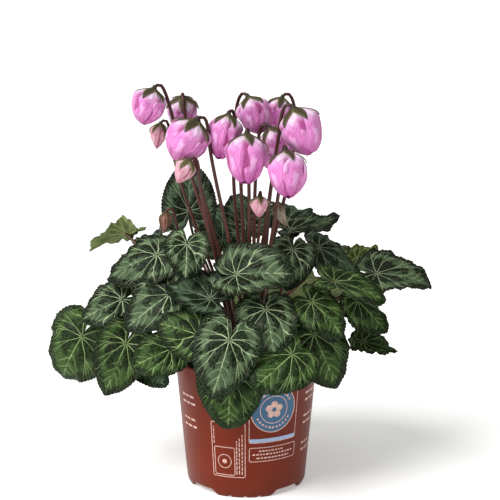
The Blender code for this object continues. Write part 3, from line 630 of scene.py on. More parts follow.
def crumb_scatter():
    """Crumbs strewn over a surface: little uneven lumps, turned and sized at random from a fixed seed."""
    tree, given, out = new_tree(
        "crumb_scatter",
        {
            "Density": "NodeSocketFloat", "Smallest": "NodeSocketFloat", "Largest": "NodeSocketFloat",
            "Seed": "NodeSocketInt", "Material": "NodeSocketMaterial",
        },
    )
    points = node(
        tree, "GeometryNodeDistributePointsOnFaces",
        {"Mesh": given["Geometry"], "Density": given["Density"], "Seed": given["Seed"]},
    )
    lump = node(tree, "GeometryNodeMeshIcoSphere", {"Radius": 1.0, "Subdivisions": 1})
    spin = node(
        tree, "FunctionNodeRandomValue",
        {"Max": (6.28, 6.28, 6.28), "Seed": given["Seed"]}, data_type="FLOAT_VECTOR",
    ).outputs[0]
    size = node(
        tree, "FunctionNodeRandomValue", {2: given["Smallest"], 3: given["Largest"], "Seed": given["Seed"]}
    ).outputs[1]
    squash = node(tree, "ShaderNodeCombineXYZ", {"X": size, "Y": size})
    flat = node(tree, "ShaderNodeVectorMath", {0: squash, 1: (1.0, 0.8, 1.0)}, operation="MULTIPLY")
    height = node(tree, "ShaderNodeMath", {0: size, 1: 0.6}, operation="MULTIPLY")
    tall = node(tree, "ShaderNodeCombineXYZ", {"Z": height})
    scale = node(tree, "ShaderNodeVectorMath", {0: flat, 1: tall}, operation="ADD")
    strewn = node(
        tree, "GeometryNodeInstanceOnPoints",
        {"Points": points, "Instance": lump, "Rotation": spin, "Scale": scale},
    )
    real = node(tree, "GeometryNodeRealizeInstances", {"Geometry": strewn})
    done = node(tree, "GeometryNodeSetMaterial", {"Geometry": real, "Material": given["Material"]})
    connect(tree, out, {"Geometry": done})
    return tree


def grow(objects):
    """Runs each piece's Geometry Nodes tree and leaves a plain mesh; objects holds (object, tree, input values)."""
    for obj, tree, values in objects:
        modifier = obj.modifiers.new("grow", "NODES")
        modifier.node_group = tree
        sockets = {s.name: s.identifier for s in tree.interface.items_tree if s.in_out == "INPUT"}
        for key, value in values.items():
            modifier[sockets[key]] = value
    deps = bpy.context.evaluated_depsgraph_get()
    made = [bpy.data.meshes.new_from_object(obj.evaluated_get(deps)) for obj, _, _ in objects]
    for (obj, _, _), mesh in zip(objects, made):
        obj.modifiers.clear()
        obj.data = mesh
        mesh.shade_smooth()


def line_object(name, points, girth):
    """A bare line of corners for stalk_sweep, in metres, with its thickness and how far along each corner is."""
    mesh = bpy.data.meshes.new(name)
    count = len(points)
    mesh.from_pydata((np.asarray(points) * MM).tolist(), [(k, k + 1) for k in range(count - 1)], [])
    mesh.attributes.new("girth", "FLOAT", "POINT").data.foreach_set("value", np.asarray(girth, np.float32) * MM)
    along = np.linspace(0, 1, count)
    mesh.attributes.new("along", "FLOAT", "POINT").data.foreach_set("value", along.astype(np.float32))
    return in_scene(name, mesh)


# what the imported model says


def corners(name):
    """The corners of a CAD node in millimetres, its loose triangles joined, and the neighbours of each."""
    work = bmesh.new()
    work.from_mesh(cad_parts[name].data)
    bmesh.ops.remove_doubles(work, verts=work.verts, dist=2e-5)
    work.verts.ensure_lookup_table()
    points = np.array([v.co[:] for v in work.verts]) / MM
    near = [[e.other_vert(v).index for e in v.link_edges] for v in work.verts]
    work.free()
    return points, near


def rings(name):
    """The rings of corners of a stalked node, from the foot of its stalk outwards: each ring is the neighbours of
    the one before."""
    points, near = corners(name)
    bottom, top = CROWN_HEIGHTS
    low = [k for k, p in enumerate(points) if math.hypot(p[0], p[1]) < CROWN_REACH and bottom < p[2] < top]
    ring = sorted(low, key=lambda k: points[k][2])[:STALK_CORNERS]
    seen = set(ring)
    found = []
    while ring:
        found.append(points[ring])
        ring = sorted({j for k in ring for j in near[k]} - seen)
        seen.update(ring)
    return found


def rooted(line):
    """A line that starts a little further back, inside the crown."""
    step_in = (line[1] - line[0]) / np.linalg.norm(line[1] - line[0]) * ROOTED
    return [line[0] - step_in, *line[1:]]


# leaves


def vein_rays(angle, share, rng):
    """Main veins of a blade. A vein runs wherever the first value is a whole number, 0 along the midrib; the
    other two say how far apart its forks and then their twigs have spread, in the same measure."""
    turn, off = np.radians(angle), np.abs(angle)
    warp = sum(size * np.sin(k * turn + rng.uniform(0, 6.3)) for k, size in ((2, 0.14), (5, 0.12), (9, 0.08)))
    bow = 1 + 0.3 * share * share * step(10, 60, off) * (1 - 0.8 * step(120, 170, off))
    ray = off / RAY_TURN * bow + warp * step(4, 26, off) * (0.5 + 0.5 * share)
    free = step(0.35, 0.6, ray)
    ray = ray + 0.09 * np.sin(5 * share + 4 * turn + rng.uniform(0, 6.3)) * share * step(0.5, 1.0, ray)
    late = 0.07 * np.sin(7 * turn + rng.uniform(0, 6.3))
    fork = 0.27 * np.clip((share - 0.36 - late) / 0.5, 0, 1) ** 0.8 * free
    twig = 0.13 * np.clip((share - 0.58 + late) / 0.34, 0, 1) * free
    return ray, fork, twig


def side_veins(angle, share, rng):
    """Veins that leave the midrib slantwise: one wherever the value is a whole number, and 0 to 1 for how far they
    have died away."""
    turn = np.radians(angle)
    reach = smooth(OUTLINE, np.abs(angle)) * share
    x, y = reach * np.cos(turn), np.abs(reach * np.sin(turn))
    slant = (x - 0.85 * y - 1.2 * y * y) / SIDE_PITCH + np.where(angle > 0, 0.45, 0.0) + rng.uniform(0, 1)
    slant = slant + 0.22 * np.sin(9 * x + 5 * y + rng.uniform(0, 6.3))
    gone = np.clip(step(13, 24, np.abs(angle)) + 1 - step(0.2, 0.3, x) + step(0.86, 0.97, share), 0, 1)
    return slant, gone


def blade_angles():
    """Angles round the margin, evenly spaced along it from the notch and back: four to a tooth."""
    fine = np.linspace(-180, 180, 6001)
    reach = smooth(OUTLINE, np.abs(fine))
    x, y = reach * np.cos(np.radians(fine)), reach * np.sin(np.radians(fine))
    run = np.concatenate([[0], np.cumsum(np.hypot(np.diff(x), np.diff(y)))])
    return np.interp(np.arange(ANGLES) * run[-1] / ANGLES, run, fine)


def nearest(value):
    """How far a value is from a whole number."""
    return np.abs(value - np.round(value))


def blade_marks(seed):
    """The lines of the veins and the silver marking of a blade, one value for each place of its grid."""
    rng = np.random.default_rng(seed)
    angle, share = np.broadcast_arrays(blade_angles()[None, :], np.linspace(0, 1, RINGS)[:, None])
    ray, fork, twig = vein_rays(angle, share, rng)
    slant, gone = side_veins(angle, share, rng)
    reach = smooth(OUTLINE, np.abs(angle)) * share * STANDARD
    span = np.radians(RAY_TURN) * reach
    beside = nearest(slant) * SIDE_PITCH * STANDARD * 0.7 + 9 * gone
    away = np.minimum(np.abs(np.abs(nearest(ray) - fork) - twig) * span, beside)
    turn = np.radians(angle)
    ragged = 0.028 * sum(
        math.sqrt(7 / f) * np.sin(f * turn + rng.uniform(0, 6.3)) for f in (3, 7, 13, 19, 29, 41)
    )
    band = step(0.48, 0.62, share + ragged) * (1 - step(0.7, 0.84, share - ragged * 0.8))
    x, y = reach * np.cos(turn) / STANDARD, np.abs(reach * np.sin(turn)) / STANDARD
    tongue = np.exp(-((y / (0.045 + 0.10 * x)) ** 2)) * step(0.02, 0.2, x) * (1 - step(0.86, 0.97, x))
    near = np.exp(-((away / 1.5) ** 2))
    silver = np.maximum(band * (0.8 + 0.35 * near), tongue * 0.8) + 0.3 * near * step(0.1, 0.3, share)
    silver = np.clip(silver, 0, 1.1) - 0.6 * step(0.8, 0.92, share)
    return {"ray": ray, "fork": fork, "twig": twig, "slant": slant, "gone": gone, "silver": silver, "away": away}


MARKS = [blade_marks(seed) for seed in (3, 8, 15, 21, 34)]


class Blade:
    """A leaf's blade in the place its CAD node has settled in."""

    def __init__(self, name):
        aim, fall, face, height, length, width, fold, curl, tint = LEAVES[name]
        self.name = name
        self.number = int(name[-2:])
        self.aim = compass(aim, -fall)
        self.face = compass(face, height)
        self.length = length
        self.width = width
        self.fold = math.radians(fold)
        self.curl = math.radians(curl)
        self.tint = tint
        self.rings = rings(name)
        self.wave, self.twist, self.droop = CAD_WAVE, 0.0, 0.0
        self.settle()
        rng = np.random.default_rng(300 + self.number)
        self.wave, self.twist, self.droop = MARGIN_WAVE, rng.uniform(-TWIST, TWIST), rng.uniform(*DROOP)

    def axes(self, tilt):
        """The blade's own axes, towards the tip, across and off the face, for a small tilt."""
        z = (self.face - self.aim * self.face.dot(self.aim)).normalized()
        x = self.aim
        y = z.cross(x)
        turn = Matrix.Rotation(math.radians(tilt[0]), 3, x) @ Matrix.Rotation(math.radians(tilt[1]), 3, y)
        return [np.array(turn @ v) for v in (x, y, z)]

    def bent(self, r, angle, share, extra):
        """Points of the blade in its own axes, at a reach and an angle; extra is added to their height."""
        a = np.radians(angle)
        wide = 1 + (self.width - 1) * step(3, 9, r)
        x, y = r * np.cos(a), r * np.sin(a) * wide
        lift = math.tan(self.fold) * (np.hypot(y, 4) - 4)
        wave = np.sin(3 * a + 1.7 * self.number) + 0.6 * np.sin(5 * a + 2.3 * self.number)
        lift = lift + self.length * self.wave * share * share * wave + extra
        lift = lift + self.twist * x * y / self.length - self.droop * share**3 * r * r / self.length
        bend = self.curl / self.length
        turn = bend * x
        along = np.sin(turn) / bend + lift * np.sin(turn)
        up = lift * np.cos(turn) - (1 - np.cos(turn)) / bend
        return np.stack([along, y, up], axis=-1)

    def placed(self, local):
        """Points of the blade's own axes in the part's."""
        x, y, z = self.frame
        return self.hub + local[..., :1] * x + local[..., 1:2] * y + local[..., 2:3] * z

    def settle(self):
        """Finds the hub and the tilt: the CAD's own margin is laid on the node's corners."""
        self.hub = np.zeros(3)
        around = np.array(list(CAD_ANGLES) + [-a for a in CAD_ANGLES[1:]], float)
        reach = np.maximum(self.length * np.interp(np.abs(around), *zip(*OUTLINE)), NOTCH_REACH)
        hub_corner = self.rings[-1][0]
        every = np.concatenate(self.rings)
        best = None
        for tilt in TILTS:
            self.frame = self.axes(tilt)
            margin = self.placed(self.bent(reach, around, 1.0, CAD_HALF))
            hub = hub_corner - self.frame[2] * CAD_HALF
            gaps = [np.linalg.norm(every - hub - p, axis=1).min() for p in margin]
            if best is None or max(gaps) < best[0]:
                best = (max(gaps), hub, self.frame)
        self.gap, self.hub, self.frame = best

    def grids(self):
        """The face and the back of the blade as grids from the hub's ring to the margin, and the values on them."""
        rng = np.random.default_rng(100 + self.number)
        angle = blade_angles()[None, :]
        share = np.linspace(0, 1, RINGS)[:, None]
        away = MARKS[self.number % len(MARKS)]["away"]
        vein = np.exp(-((away / 0.6) ** 2))
        reach = np.maximum(self.length * smooth(OUTLINE, np.abs(angle)), NOTCH_REACH)
        round_notch = 1 - step(160, 176, np.abs(angle))
        phase = np.arange(ANGLES)[None, :] % 4
        tooth = np.where(phase == 2, 1.0, np.where(phase == 0, 0.0, 0.5))
        size = 0.7 + 0.3 * np.sin(5 * np.radians(angle) + rng.uniform(0, 6))
        r = HUB_RADIUS + share * (reach - HUB_RADIUS) + TOOTH * (tooth - 0.35) * size * round_notch * share**9
        ruffle = sum(
            math.sqrt(6 / f) * np.sin(f * np.radians(angle) + rng.uniform(0, 6.3)) for f in (3, 5, 8, 13, 23)
        ) * 1.3
        quilt = 1.3 * (1 - np.exp(-((away / 2.6) ** 2))) * (1 - share**3) - 0.3 * vein
        height = quilt + ruffle * share**3 * round_notch
        thin = 1 - 0.45 * share**6
        face = self.placed(self.bent(r, angle, share, height + BLADE_HALF * thin))
        back = self.placed(self.bent(r, angle, share, height - BLADE_HALF * thin - 0.12 * vein))
        return face, back, np.broadcast_to(share, vein.shape), np.broadcast_to(r, vein.shape)

    def mesh(self):
        """The closed blade: a fine face, a coarser back, and the rim between them."""
        face, back, share, far = self.grids()
        keep = np.unique(np.round(np.linspace(0, RINGS - 1, BACK_RINGS)).astype(int))
        back = back[keep]
        points = np.concatenate([
            self.placed(np.array([[0.0, 0.0, BLADE_HALF - 0.1]])), face.reshape(-1, 3),
            self.placed(np.array([[0.0, 0.0, -BLADE_HALF]])), back.reshape(-1, 3),
        ])
        top = 1 + np.arange(RINGS * ANGLES).reshape(RINGS, ANGLES)
        under_hub = 1 + RINGS * ANGLES
        under = under_hub + 1 + np.arange(len(keep) * ANGLES).reshape(len(keep), ANGLES)
        faces, kinds = [], []

        def strip(a, b, kind):
            quads = np.stack([a, np.roll(a, -1), np.roll(b, -1), b], axis=-1)
            faces.extend(quads.tolist())
            kinds.extend([kind] * len(quads))

        for grid, kind, hub in ((top, 0, 0), (under, 1, under_hub)):
            faces.extend([[hub, int(p), int(q)] for p, q in zip(grid[0], np.roll(grid[0], -1))])
            kinds.extend([kind] * ANGLES)
            for a, b in zip(grid, grid[1:]):
                strip(a, b, kind)
        strip(top[-1], under[-1], 0)
        marks = dict(MARKS[self.number % len(MARKS)], reach=share, far=far)
        values = {
            key: np.concatenate([grid[0, :1], grid.ravel(), grid[0, :1], grid[keep].ravel()])
            for key, grid in marks.items() if key != "away"
        }
        values["age"] = np.full(len(points), np.random.default_rng(self.number).uniform(-0.12, 0.2))
        mats = [LEAF_FACE[self.tint], LEAF_UNDER]
        return piece(self.name + "_blade", points, faces, mats, values=values, kinds=kinds)

    def stalk(self):
        """The stalk's line through the middles of its rings, from inside the crown to inside the hub."""
        middles = rooted([ring.mean(axis=0) for ring in self.rings[:STALK_RINGS]])
        middles.append(self.hub - self.frame[2] * BLADE_HALF)
        path = smooth_path(middles, STALK_STEPS)
        t = np.linspace(0, 1, STALK_STEPS)
        girth = 1.45 - 0.3 * step(0.1, 0.6, t) + 0.25 * step(0.92, 1.0, t)
        return line_object(self.name + "_stalk", path, girth)


# flowers


def petal_grid(wide, long):
    """-1 to 1 across a petal or sepal, and 0 to 1 along it."""
    return np.linspace(-1, 1, wide)[:, None], np.linspace(0, 1, long)[None, :]


def petal_uv(u, v):
    """A petal's or sepal's UV places: 0 to 1 across and along."""
    return np.stack(np.broadcast_arrays((u + 1) / 2, v), axis=-1).reshape(-1, 2)


class Head:
    """A flower's stem line, and the frame of its hanging head."""

    def __init__(self, name):
        self.width, self.kind, self.turn = FLOWERS[name]
        self.name = name
        found = rings(name)
        stalk = [ring for ring in found if len(ring) == STALK_CORNERS][:STEM_RINGS]
        self.line = [ring.mean(axis=0) for ring in stalk]
        self.start = self.line[-1]
        self.tip = found[-1].mean(axis=0)
        self.length = float(np.linalg.norm(self.tip - self.start))
        self.down = (self.tip - self.start) / self.length
        side = np.cross(self.down, (0.0, 1.0, 0.2))
        self.side = side / np.linalg.norm(side)
        self.other = np.cross(self.down, self.side)
        self.profile = PROFILES["open" if self.kind == "open" else "bud"]
        self.rng = np.random.default_rng(int(name[-2:]) * 7)

    def point(self, share, angle, stretch=1.0, extra=0.0):
        """Points of the head's outside at a share of its length and an angle round it."""
        r = self.width / 2 * smooth(self.profile, share) * stretch + extra
        a = np.radians(angle)
        return (
            self.start + self.down * (share * self.length)[..., None]
            + self.side * (r * np.cos(a))[..., None] + self.other * (r * np.sin(a))[..., None]
        )

    def petals(self):
        """Five petals that wrap round each other, each with one edge over its neighbour and one edge under."""
        u, v = petal_grid(*PETAL_GRID)
        parts, uv, fold = [], [], []
        rng = self.rng
        twist = rng.uniform(8, 22)
        for k in range(PETALS_EACH):
            end = 1.0 - rng.uniform(0.0, 0.05)
            share = 0.03 + (end - 0.03) * v + 0 * u
            share = share - 0.05 * step(0.75, 1.0, v) * u * u * end
            half = 36 + 24 * step(0.05, 0.4, v) + 6 * step(0.5, 0.8, v) - 14 * step(0.85, 1.0, v)
            lean = rng.uniform(-3, 3)
            angle = self.turn + 72 * k + lean + twist * v**1.3 + u * half
            wrap = 0.075 * u * (0.25 + 0.75 * step(0.05, 0.35, v))
            shoulder = 0.12 * np.exp(-(((v - 0.2) / 0.15) ** 2)) * (1 - 1.8 * u * u)
            belly = 0.06 * np.cos(math.pi * u * 0.9) * step(0.15, 0.5, v)
            crease = -0.03 * np.exp(-((u / 0.14) ** 2)) * step(0.1, 0.4, v) * (1 - step(0.7, 1.0, v))
            flare = 0.06 * step(0.7, 1.0, u) * step(0.2, 0.6, v) * rng.uniform(0.3, 1.2)
            wave = sum(
                size * np.sin(along * v + around * u + rng.uniform(0, 6.3)) for size, along, around in PETAL_WAVES
            )
            plump = rng.uniform(0.96, 1.02)
            stretch = plump * (0.94 + wrap + shoulder + belly + crease + flare + wave)
            front = self.point(share, angle, stretch)
            back = self.point(share, angle, stretch, -0.35)
            parts.append(shell(front, back))
            uv.extend([petal_uv(u, v)] * 2)
            # Painted shade in the fold values: deepest where the neighbour's edge lies over this petal, and more
            # along the middle crease, by the outer edge and towards the tip.
            shade = 0.85 * (1 - step(-0.36, -0.08, u)) * step(0.08, 0.3, v) + 0.4 * step(0.88, 1.0, u) * v
            shade = shade + 0.15 * np.exp(-((u / 0.1) ** 2)) * v + 0.25 * step(0.6, 1.0, v)
            fold.extend([np.clip(shade, 0, 1).ravel()] * 2)
        points, faces = merged(parts)
        mat = PETALS[self.kind]
        return piece(
            self.name + "_corolla", points, faces, [mat], {"fold": np.concatenate(fold)}, uv=np.concatenate(uv)
        )

    def calyx(self):
        """Five pointed sepals laid on the head's shoulder, joined at the end of the stem."""
        reach = {"open": 0.3, "bud": 0.42, "dry": 0.4, "young": 0.8}[self.kind]
        u, v = petal_grid(*SEPAL_GRID)
        parts, uv = [], []
        for k in range(PETALS_EACH):
            long = reach * self.rng.uniform(0.9, 1.1)
            share = 0.012 + long * v * (1 - 0.04 * u * u)
            wide = 0.15 * self.width * (1 - v) ** 0.85 + 0.15
            half = np.degrees(np.minimum(wide / (self.width / 2 * smooth(self.profile, share) + 0.5), 0.6))
            angle = self.turn + 36 + 72 * k + u * half + self.rng.uniform(-4, 4)
            lift = 0.75 + 0.3 * (1 - u * u) + 0.5 * v**5 * self.rng.uniform(-1.0, 0.4)
            stretch = 1.0 + 0.06 * np.exp(-(((v - 0.6) / 0.4) ** 2))
            front = self.point(share, angle, stretch, lift)
            back = self.point(share, angle, stretch, lift - 0.45)
            parts.append(shell(front, back))
            uv.extend([petal_uv(u, v)] * 2)
        big = max(self.width / 32, 0.5)
        cone = (
            (-3.2, 0.0), (-3.0, 1.62), (-1.6, 1.85), (-0.4, 2.5), (0.7, 3.6), (1.5, 4.3), (2.2, 4.6), (2.6, 0.0),
        )
        profile = [(along * big, max(r * big, 1.55) if r else 0.0) for along, r in cone]
        points, faces = turned(profile, CONE_SIDES, self.start, self.down, self.side, self.other)
        parts.append((points, faces))
        uv.append(np.full((len(points), 2), (0.5, 0.0)))
        points, faces = merged(parts)
        return piece(self.name + "_calyx", points, faces, [SEPALS[self.kind]], uv=np.concatenate(uv))

    def stem(self):
        """The stem's line, thinner towards its hook."""
        path = smooth_path(rooted(self.line), STEM_STEPS)
        t = np.linspace(0, 1, STEM_STEPS)
        girth = (1.7 - 0.35 * t) * (0.85 if self.kind in ("dry", "young", "bud") else 1.0)
        return line_object(self.name + "_stem", path, girth)


def turned(profile, sides, start, axis, side, other):
    """A closed body turned about an axis; the profile's entries are (place along it, radius), from pole to pole."""
    points, faces, ring = [], [], []
    for along, radius in profile:
        if radius == 0:
            ring.append([len(points)] * sides)
            points.append(start + axis * along)
            continue
        ring.append([len(points) + k for k in range(sides)])
        for k in range(sides):
            a = 2 * math.pi * k / sides
            points.append(start + axis * along + side * (radius * math.cos(a)) + other * (radius * math.sin(a)))
    for low, high in zip(ring, ring[1:]):
        for k in range(sides):
            j = (k + 1) % sides
            corner = list(dict.fromkeys((low[k], low[j], high[j], high[k])))
            faces.append(corner)
    return np.array(points), faces


# pot, soil and tuber


def wall_radius(z):
    """Outer radius of the pot's wall."""
    top = POT_HEIGHT - LIP_HEIGHT
    return FOOT_RADIUS + (RIM_RADIUS - LIP_REACH - FOOT_RADIUS) * (z - FLOOR_TOP) / (top - FLOOR_TOP)


def foot_edge(turn):
    """How far the foot is cut away at a compass angle: four broad low arches, and three small scallops between."""
    off = abs((turn - ARCH_TURN + 45) % 90 - 45)
    broad = ARCH_RISE * float(step(0, 1, (ARCH_HALF - off) / ARCH_END))
    place = (turn - ARCH_TURN) % 90 - 45
    small = sum(NOTCH_RISE * math.exp(-(((place - notch) / NOTCH_HALF) ** 4)) for notch in NOTCHES)
    return max(broad, small)


def lathe(profile, sides, drains=()):
    """A closed body turned about Z. Profile entries are (radius, height), or a function of the compass angle."""
    points, faces, ring = [], [], []
    for entry in profile:
        place = entry if callable(entry) else (lambda turn, e=entry: e)
        if place(0)[0] == 0:
            ring.append([len(points)] * sides)
            points.append((0, 0, place(0)[1]))
            continue
        ring.append([len(points) + k for k in range(sides)])
        for k in range(sides):
            turn = 360 * k / sides
            r, z = place(turn)
            points.append((r * math.cos(math.radians(turn)), r * math.sin(math.radians(turn)), z))
    opened = {span for pair in drains for span in pair}
    pitch = sides // DRAINS
    open_width = pitch * 2 // 7  # the rest of the pitch is floor between two drain openings
    for k in range(sides):
        j = (k + 1) % sides
        hole = k % pitch < open_width
        for level in range(len(ring) - 1):
            if level in opened and hole:
                continue
            a, b, c, d = ring[level][k], ring[level][j], ring[level + 1][j], ring[level + 1][k]
            faces.append(list(dict.fromkeys((a, b, c, d))))
        for low, high in drains:
            if not hole:
                continue
            faces.append([ring[low][k], ring[low][j], ring[high + 1][j], ring[high + 1][k]])
            faces.append([ring[low + 1][j], ring[low + 1][k], ring[high][k], ring[high][j]])
            if k % pitch == 0:
                faces.append([ring[low][k], ring[high + 1][k], ring[high][k], ring[low + 1][k]])
            if k % pitch == open_width - 1:
                faces.append([ring[low][j], ring[low + 1][j], ring[high][j], ring[high + 1][j]])
    return np.array(points), faces


def make_pot():
    """The pot, from the middle of its foot disc out and up the wall, over the lip and down the inside."""
    under = POT_HEIGHT - LIP_HEIGHT
    profile = (
        (0, 0.0),
        (DISC_RADIUS - 0.6, 0.0),
        (DISC_RADIUS, 0.15),
        (DISC_RADIUS + 4, FLOOR_UNDER),
        (DRAIN_IN, FLOOR_UNDER),
        (DRAIN_OUT, FLOOR_UNDER),
        (47.4, FLOOR_UNDER),
        (47.0, FLOOR_UNDER - 0.4),
        lambda turn: (46.9, foot_edge(turn) + 0.3),
        lambda turn: (47.2, foot_edge(turn)),
        lambda turn: (48.0, foot_edge(turn)),
        lambda turn: (48.6, foot_edge(turn) + 0.2),
        lambda turn: (49.3, max(1.6, foot_edge(turn) + 0.5)),
        lambda turn: (49.75, max(3.4, foot_edge(turn) + 0.8)),
        (FOOT_RADIUS, FLOOR_TOP),
        *((wall_radius(z), z) for z in np.linspace(20, under - 0.9, 6)),
        (wall_radius(under) - 0.04, under - 0.25),
        (wall_radius(under) + 0.12, under),
        (RIM_RADIUS - 0.25, under + 0.2),
        (RIM_RADIUS - 0.03, under + 0.5),
        (RIM_RADIUS, under + 0.9),
        (RIM_RADIUS, POT_HEIGHT - 0.5),
        (RIM_RADIUS - 0.12, POT_HEIGHT - 0.15),
        (RIM_RADIUS - 0.45, POT_HEIGHT),
        (RIM_RADIUS - 1.0, POT_HEIGHT),
        (RIM_RADIUS - 1.28, POT_HEIGHT - 0.15),
        (RIM_RADIUS - 1.4, POT_HEIGHT - 0.5),
        (wall_radius(under) - WALL, under - 0.6),
        (FOOT_RADIUS - WALL, FLOOR_TOP + 1.0),
        (FOOT_RADIUS - WALL - 1.2, FLOOR_TOP),
        (DRAIN_OUT, FLOOR_TOP),
        (DRAIN_IN, FLOOR_TOP),
        (DISC_RADIUS + 4.2, FLOOR_TOP),
        (DISC_RADIUS + 0.3, DISC_TOP),
        (0, DISC_TOP),
    )
    points, faces = lathe(profile, POT_SIDES, drains=((4, len(profile) - 6),))
    obj = piece("pot_body", points, faces, [pot_plastic()])
    obj.data.set_sharp_from_angle(angle=math.radians(50))
    seat(obj, "pot")


def soil_height(r, turn):
    """The top of the soil: a low mound with lumps."""
    a = math.radians(turn)
    lumps = math.sin(3 * a + 0.7) + 0.7 * math.sin(5 * a + r / 7) + 0.5 * math.cos(8 * a - r / 5)
    fine = 0.3 * math.sin(17 * a + r) + 0.3 * math.sin(29 * a - r / 1.7) + 0.25 * math.cos(41 * a + r / 1.3)
    return SOIL_TOP + 1.6 * (1 - r / SOIL_EDGE) + (0.45 * lumps + 0.5 * fine) * min(1, (SOIL_EDGE - r) / 12)


def make_soil():
    """The block of peat that fills the pot, with crumbs and grains of perlite strewn over its top."""
    edge = wall_radius(SOIL_TOP) - WALL - SOIL_GAP
    profile = [
        (0, DISC_TOP + SOIL_GAP),
        (DISC_RADIUS - 0.2, DISC_TOP + SOIL_GAP),
        (DISC_RADIUS + 3.9, FLOOR_TOP + SOIL_GAP),
        (FOOT_RADIUS - WALL - 1.9, FLOOR_TOP + SOIL_GAP),
        (FOOT_RADIUS - WALL - 0.3, FLOOR_TOP + 2.0),
        (edge - 0.15, SOIL_TOP - 0.6),
    ]
    for r in np.arange(56.0, 27.0, -1.5):
        profile.append(lambda turn, r=r: (r, soil_height(r, turn)))
    profile.append((25.6, SOIL_TOP + 0.6))
    profile.extend(reversed(PIT))
    points, faces = lathe(profile, SOIL_SIDES)
    peat = crumbly("peat_potting_soil", "#16100C", "#3A2A20", 2.0)
    seat(piece("soil_block", points, faces, [peat]), "soil")
    open_top = (points[:, 2] > SOIL_TOP - 0.2) & (np.hypot(points[:, 0], points[:, 1]) > PIT_EDGE)
    top = [face for face in faces if all(open_top[k] for k in face)]
    strewn = []
    # name, lumps to a square metre, smallest and largest in metres, seed, material
    kinds = (
        ("soil_crumbs", 380000.0, 0.0005, 0.0016, 4, peat),
        ("soil_perlite", 9000.0, 0.0006, 0.0013, 9, crumbly("expanded_perlite", "#B9B2A4", "#E6E1D6", 0.8)),
    )
    for name, density, small, large, seed, mat in kinds:
        mesh = bpy.data.meshes.new(name)
        mesh.from_pydata((points * MM).tolist(), [], top)
        values = {"Density": density, "Smallest": small, "Largest": large, "Seed": seed, "Material": mat}
        strewn.append((in_scene(name, mesh), CRUMBS, values))
    grow(strewn)
    for obj, _, _ in strewn:
        seat(obj, "soil")


def make_tuber():
    """The flattened corm, with low wrinkles round it."""
    at = np.linspace(0, len(TUBER) - 1, TUBER_LEVELS)
    radii, heights = (smooth(list(enumerate(values)), at).tolist() for values in zip(*TUBER))
    profile = [(0, TUBER[0][1])]
    for r, z in list(zip(radii, heights))[1:-1]:
        profile.append(
            lambda turn, r=r, z=z: (
                max(0.5, r - 0.35 + 0.3 * math.sin(math.radians(turn) * 7 + z * 0.9)), z
            )
        )
    profile.append((0, TUBER[-1][1]))
    points, faces = lathe(profile, TUBER_SIDES)
    bark = crumbly("corky_tuber_skin", "#3A2A1E", "#745840", 2.5, rough=0.85)
    seat(piece("tuber_body", points, faces, [bark]), "tuber")


# the print on the pot: generic panels, in degrees round the wall from the front and millimetres of height

INK = 0.02  # thickness of a layer of ink
FIRST_COAT = 0.01  # where the blue disc starts, off the wall
SECOND_COAT = 0.04  # where the pale ink starts, clear of the blue
PER_MM = 1.0 / 0.97  # degrees of wall to a millimetre at mid height


def on_wall(az, z, out):
    """A point on the pot's wall, out proud of it."""
    a = np.radians(az - 90)
    r = wall_radius(z) + out
    return np.stack([r * np.cos(a), r * np.sin(a), z + 0 * r], axis=-1)


def printed_stroke(path, width):
    """A printed line of a given width along a path of (degrees, height)."""
    path = np.array(path, float)
    flat = path / (PER_MM, 1.0)
    run = np.concatenate([[0], np.cumsum(np.linalg.norm(np.diff(flat, axis=0), axis=1))])
    steps = max(3, int(run[-1] / 0.9) + 2)
    at = np.linspace(0, run[-1], steps)
    line = np.stack([np.interp(at, run, flat[:, k]) for k in (0, 1)], axis=1)
    way = np.gradient(line, axis=0)
    way /= np.linalg.norm(way, axis=1)[:, None]
    across = np.stack([-way[:, 1], way[:, 0]], axis=1) * width / 2
    grid = np.stack([line + across, line, line - across], axis=0)
    az, z = grid[..., 0] * PER_MM, grid[..., 1]
    return shell(on_wall(az, z, SECOND_COAT + INK), on_wall(az, z, SECOND_COAT))


def printed_ring(az, z, inner, outer, spans=((0, 360),), coat=SECOND_COAT):
    """A printed ring, or arcs of one, about a centre; inner 0 gives a disc."""
    parts = []
    for low, high in spans:
        steps = max(3, int((high - low) / 6) + 2)
        a = np.radians(np.linspace(low, high, steps))[:, None]
        r = np.linspace(max(inner, 0.02), outer, max(2, int((outer - inner) / 1.2) + 2))[None, :]
        spot_az, spot_z = az + r * np.cos(a) * PER_MM, z + r * np.sin(a)
        parts.append(shell(on_wall(spot_az, spot_z, coat + INK), on_wall(spot_az, spot_z, coat)))
    return parts


def frame_lines(left, right, low, high, width):
    """The outline of a panel with clipped corners."""
    c = 0.9
    path = [
        (left + c, low), (right - c, low), (right, low + c), (right, high - c), (right - c, high),
        (left + c, high), (left, high - c), (left, low + c), (left + c, low),
    ]
    return printed_stroke(path, width)


def dashes(az, z, count, pitch, length, width, upright, rng):
    """A row of short strokes in place of lettering, along the wall or up it."""
    parts = []
    at = 0.0
    for _ in range(count):
        size = length * rng.uniform(0.4, 1.0)
        if upright:
            parts.append(printed_stroke([(az, z + at), (az, z + at + size)], width))
        else:
            parts.append(printed_stroke([(az + at * PER_MM, z), (az + (at + size) * PER_MM, z)], width))
        at += size + pitch
    return parts


